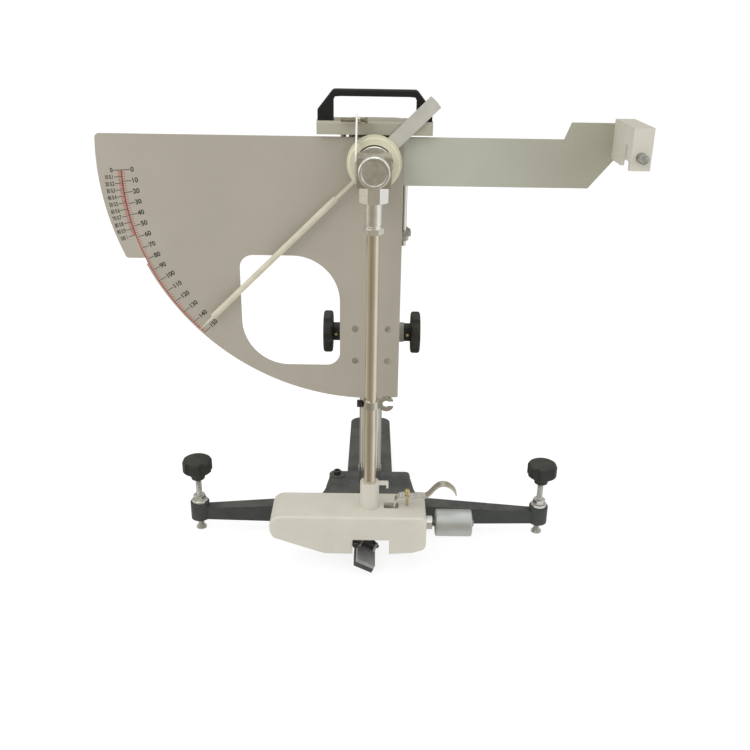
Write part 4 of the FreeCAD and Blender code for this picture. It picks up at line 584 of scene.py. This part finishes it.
levelLook = {
    "place": Vector((0, 0.158, 0.0542)), "bubble": 0.0042, "flat": 0.42, "drift": Vector((0.0012, -0.0016, 0)),
    "ring": 0.0058, "ringWide": 0.00028, "ringTop": 0.0018, "ringFlat": 0.35, "tone": (0.78, 0.88, 0.55),
    "rough": 0.05, "ripple": 0.00001,
}


def bubbleFinish(look):
    f = Finish("air bubble")
    sheen = f.here.noise(300, 2.0)
    f.set("Base Color", sheen.patches().tint(shade(look["tone"], 0.94), shade(look["tone"], 1.04)))
    f.set("Roughness", look["rough"] + sheen * look["rough"])
    f.bump(sheen, look["ripple"])
    return f.material


def levelBubble():
    look = levelLook
    bpy.ops.mesh.primitive_uv_sphere_add(segments=40, ring_count=20, radius=look["bubble"],
                                         location=look["place"] + look["drift"])
    bubble = bpy.context.object
    bubble.scale = (1, 1, look["flat"])
    pick(bubble)
    bpy.ops.object.shade_smooth()
    return bubble


def levelRing():
    look = levelLook
    raised = look["place"] + Vector((0, 0, look["ringTop"]))
    bpy.ops.mesh.primitive_torus_add(major_segments=72, minor_segments=8, major_radius=look["ring"],
                                     minor_radius=look["ringWide"], location=raised)
    ring = bpy.context.object
    ring.scale = (1, 1, look["ringFlat"])
    pick(ring)
    bpy.ops.object.shade_smooth()
    return ring


settle(levelBubble(), "level_bubble", bubbleFinish(levelLook), "base")
settle(levelRing(), "level_ring", blackInk, "base")
print("level filled")


# Studio: pale floor, white surroundings, soft light, and the camera

studio = {
    "floorTone": (0.86, 0.86, 0.86), "floorSize": 14.0, "floorGrain": 3.0, "glowShare": 0.68, "glow": 1.24,
    "sky": 0.62, "roomGlow": 0.95, "pixels": 750, "focal": 866.5, "sensor": 36.0,
    "pitch": 23.242, "roll": 0.925, "yaw": 0.316, "eye": (-0.0008, -0.96363, 0.68304),
    "room": [  # a share of the way round from the back, and the tone there, white for a window
        (0.0, (0.26, 0.23, 0.18)), (0.1, (0.32, 0.28, 0.22)), (0.15, (0.68, 0.64, 0.55)),
        (0.2, (0.74, 0.69, 0.6)), (0.26, (0.6, 0.55, 0.44)), (0.33, (0.48, 0.43, 0.33)),
        (0.39, (0.4, 0.35, 0.27)), (0.446, (0.34, 0.3, 0.23)), (0.5, (0.42, 0.38, 0.3)),
        (0.56, (0.5, 0.46, 0.38)), (0.62, (0.66, 0.62, 0.54)), (0.67, (1.0, 1.0, 0.98)),
        (0.745, (1.0, 1.0, 0.98)), (0.83, (0.66, 0.63, 0.57)), (0.94, (0.34, 0.3, 0.23))],
    "lamps": {
        "key lamp": {"place": (-1.3, -1.6, 2.0), "aim": (0.0, 0.05, 0.3), "size": 1.6, "power": 16.0},
        "fill lamp": {"place": (1.7, -1.2, 1.2), "aim": (0.0, 0.05, 0.3), "size": 1.6, "power": 7.0},
        "side lamp": {"place": (-2.4, -0.3, 0.9), "aim": (0.0, 0.0, 0.4), "size": 1.4, "power": 6.0},
        "top lamp": {"place": (0.1, 0.3, 2.4), "aim": (0.0, 0.1, 0.3), "size": 1.8, "power": 9.0}},
}


# What reflections see round the table: a dim warm room with bright windows

def roomRound(wire, sideways, away):
    turn = wire.maths("ARCTAN2", sideways, 0 - away) * (0.5 / math.pi) + 0.5
    stops = [(place, shade(tone)) for place, tone in studio["room"]]
    return wire.node("ShaderNodeValToRGB", {"stops": stops}, {"Fac": turn})


def floorFinish():
    f = Finish("studio floor")
    grain = f.here.noise(studio["floorGrain"], 2.0)
    tone = studio["floorTone"]
    f.set("Base Color", grain.between(0.2, 0.8).tint(shade(tone, 0.99), shade(tone, 1.01)))
    f.set("Roughness", 0.9)
    matt = Wire(f.tree, f.shader.outputs[0])
    seen = f.wire.node("ShaderNodeLightPath", {}, {}, "Is Camera Ray")
    glow = f.wire.node("ShaderNodeEmission", {}, {"Color": (1.0, 1.0, 1.0, 1.0), "Strength": studio["glow"]})
    mixed = f.wire.node("ShaderNodeMixShader", {}, {0: seen * studio["glowShare"], 1: matt, 2: glow})
    mirrored = f.wire.node("ShaderNodeLightPath", {}, {}, "Is Glossy Ray")
    walls = roomRound(f.wire, f.here.part(0), f.here.part(1))
    room = f.wire.node("ShaderNodeEmission", {}, {"Color": walls, "Strength": studio["roomGlow"]})
    mixed = f.wire.node("ShaderNodeMixShader", {}, {0: mirrored, 1: mixed, 2: room})
    f.tree.links.new(mixed.socket, f.tree.nodes["Material Output"].inputs["Surface"])
    return f.material


def buildFloor():
    bpy.ops.mesh.primitive_plane_add(size=studio["floorSize"])
    floor = bpy.context.object
    floor.name = "studio_floor"
    floor.data.materials.append(floorFinish())
    return floor


def surroundings():
    world = bpy.data.worlds.new("studio")
    world.use_nodes = True
    scene.world = world
    tree = world.node_tree
    wire = Wire(tree)
    path = tree.nodes.new("ShaderNodeLightPath")
    camera = Wire(tree, path.outputs["Is Camera Ray"])
    glossy = Wire(tree, path.outputs["Is Glossy Ray"])
    through = Wire(tree, path.outputs["Is Transmission Ray"])
    direct = wire.maths("MAXIMUM", camera, wire.maths("MAXIMUM", glossy, through))
    sky = tree.nodes["Background"]
    tree.links.new((studio["sky"] + direct * (1 - studio["sky"])).socket, sky.inputs["Strength"])
    # Level reflections see the room, steeper ones a white ceiling
    toward = wire.node("ShaderNodeTexCoord", {}, {}, "Generated")
    room = roomRound(wire, toward.part(0), toward.part(1))
    level = (1 - toward.part(2).between(0.35, 0.75)) * glossy
    tree.links.new(level.tint((1, 1, 1, 1), room).socket, sky.inputs["Color"])


def softLamp(name, look):
    bpy.ops.object.light_add(type="AREA", location=look["place"])
    lamp = bpy.context.object
    lamp.name = name
    lamp.data.shape = "SQUARE"
    lamp.data.size = look["size"]
    lamp.data.energy = look["power"]
    lamp.rotation_euler = (Vector(look["aim"]) - Vector(look["place"])).to_track_quat("-Z", "Y").to_euler()
    return lamp


def setCamera():
    pitch = math.radians(studio["pitch"])
    roll = math.radians(studio["roll"])
    yaw = math.radians(studio["yaw"])
    right = Vector((math.cos(yaw), -math.sin(yaw), 0))
    ahead = Vector((math.sin(yaw), math.cos(yaw), 0))
    up = Vector((0, 0, 1))
    view = ahead * math.cos(pitch) - up * math.sin(pitch)
    top = ahead * math.sin(pitch) + up * math.cos(pitch)
    across = right * math.cos(roll) + top * math.sin(roll)
    upright = top * math.cos(roll) - right * math.sin(roll)
    bpy.ops.object.camera_add(location=studio["eye"])
    camera = bpy.context.object
    turn = Matrix((across, upright, -view)).transposed().to_4x4()
    camera.matrix_world = Matrix.Translation(studio["eye"]) @ turn
    camera.data.sensor_width = studio["sensor"]
    camera.data.lens = studio["focal"] / studio["pixels"] * studio["sensor"]
    camera.data.clip_start = 0.02
    camera.data.clip_end = 60.0
    scene.camera = camera


buildFloor()
surroundings()
for name, look in studio["lamps"].items():
    softLamp(name, look)
setCamera()
scene.view_settings.view_transform = "Standard"
print("studio ready")
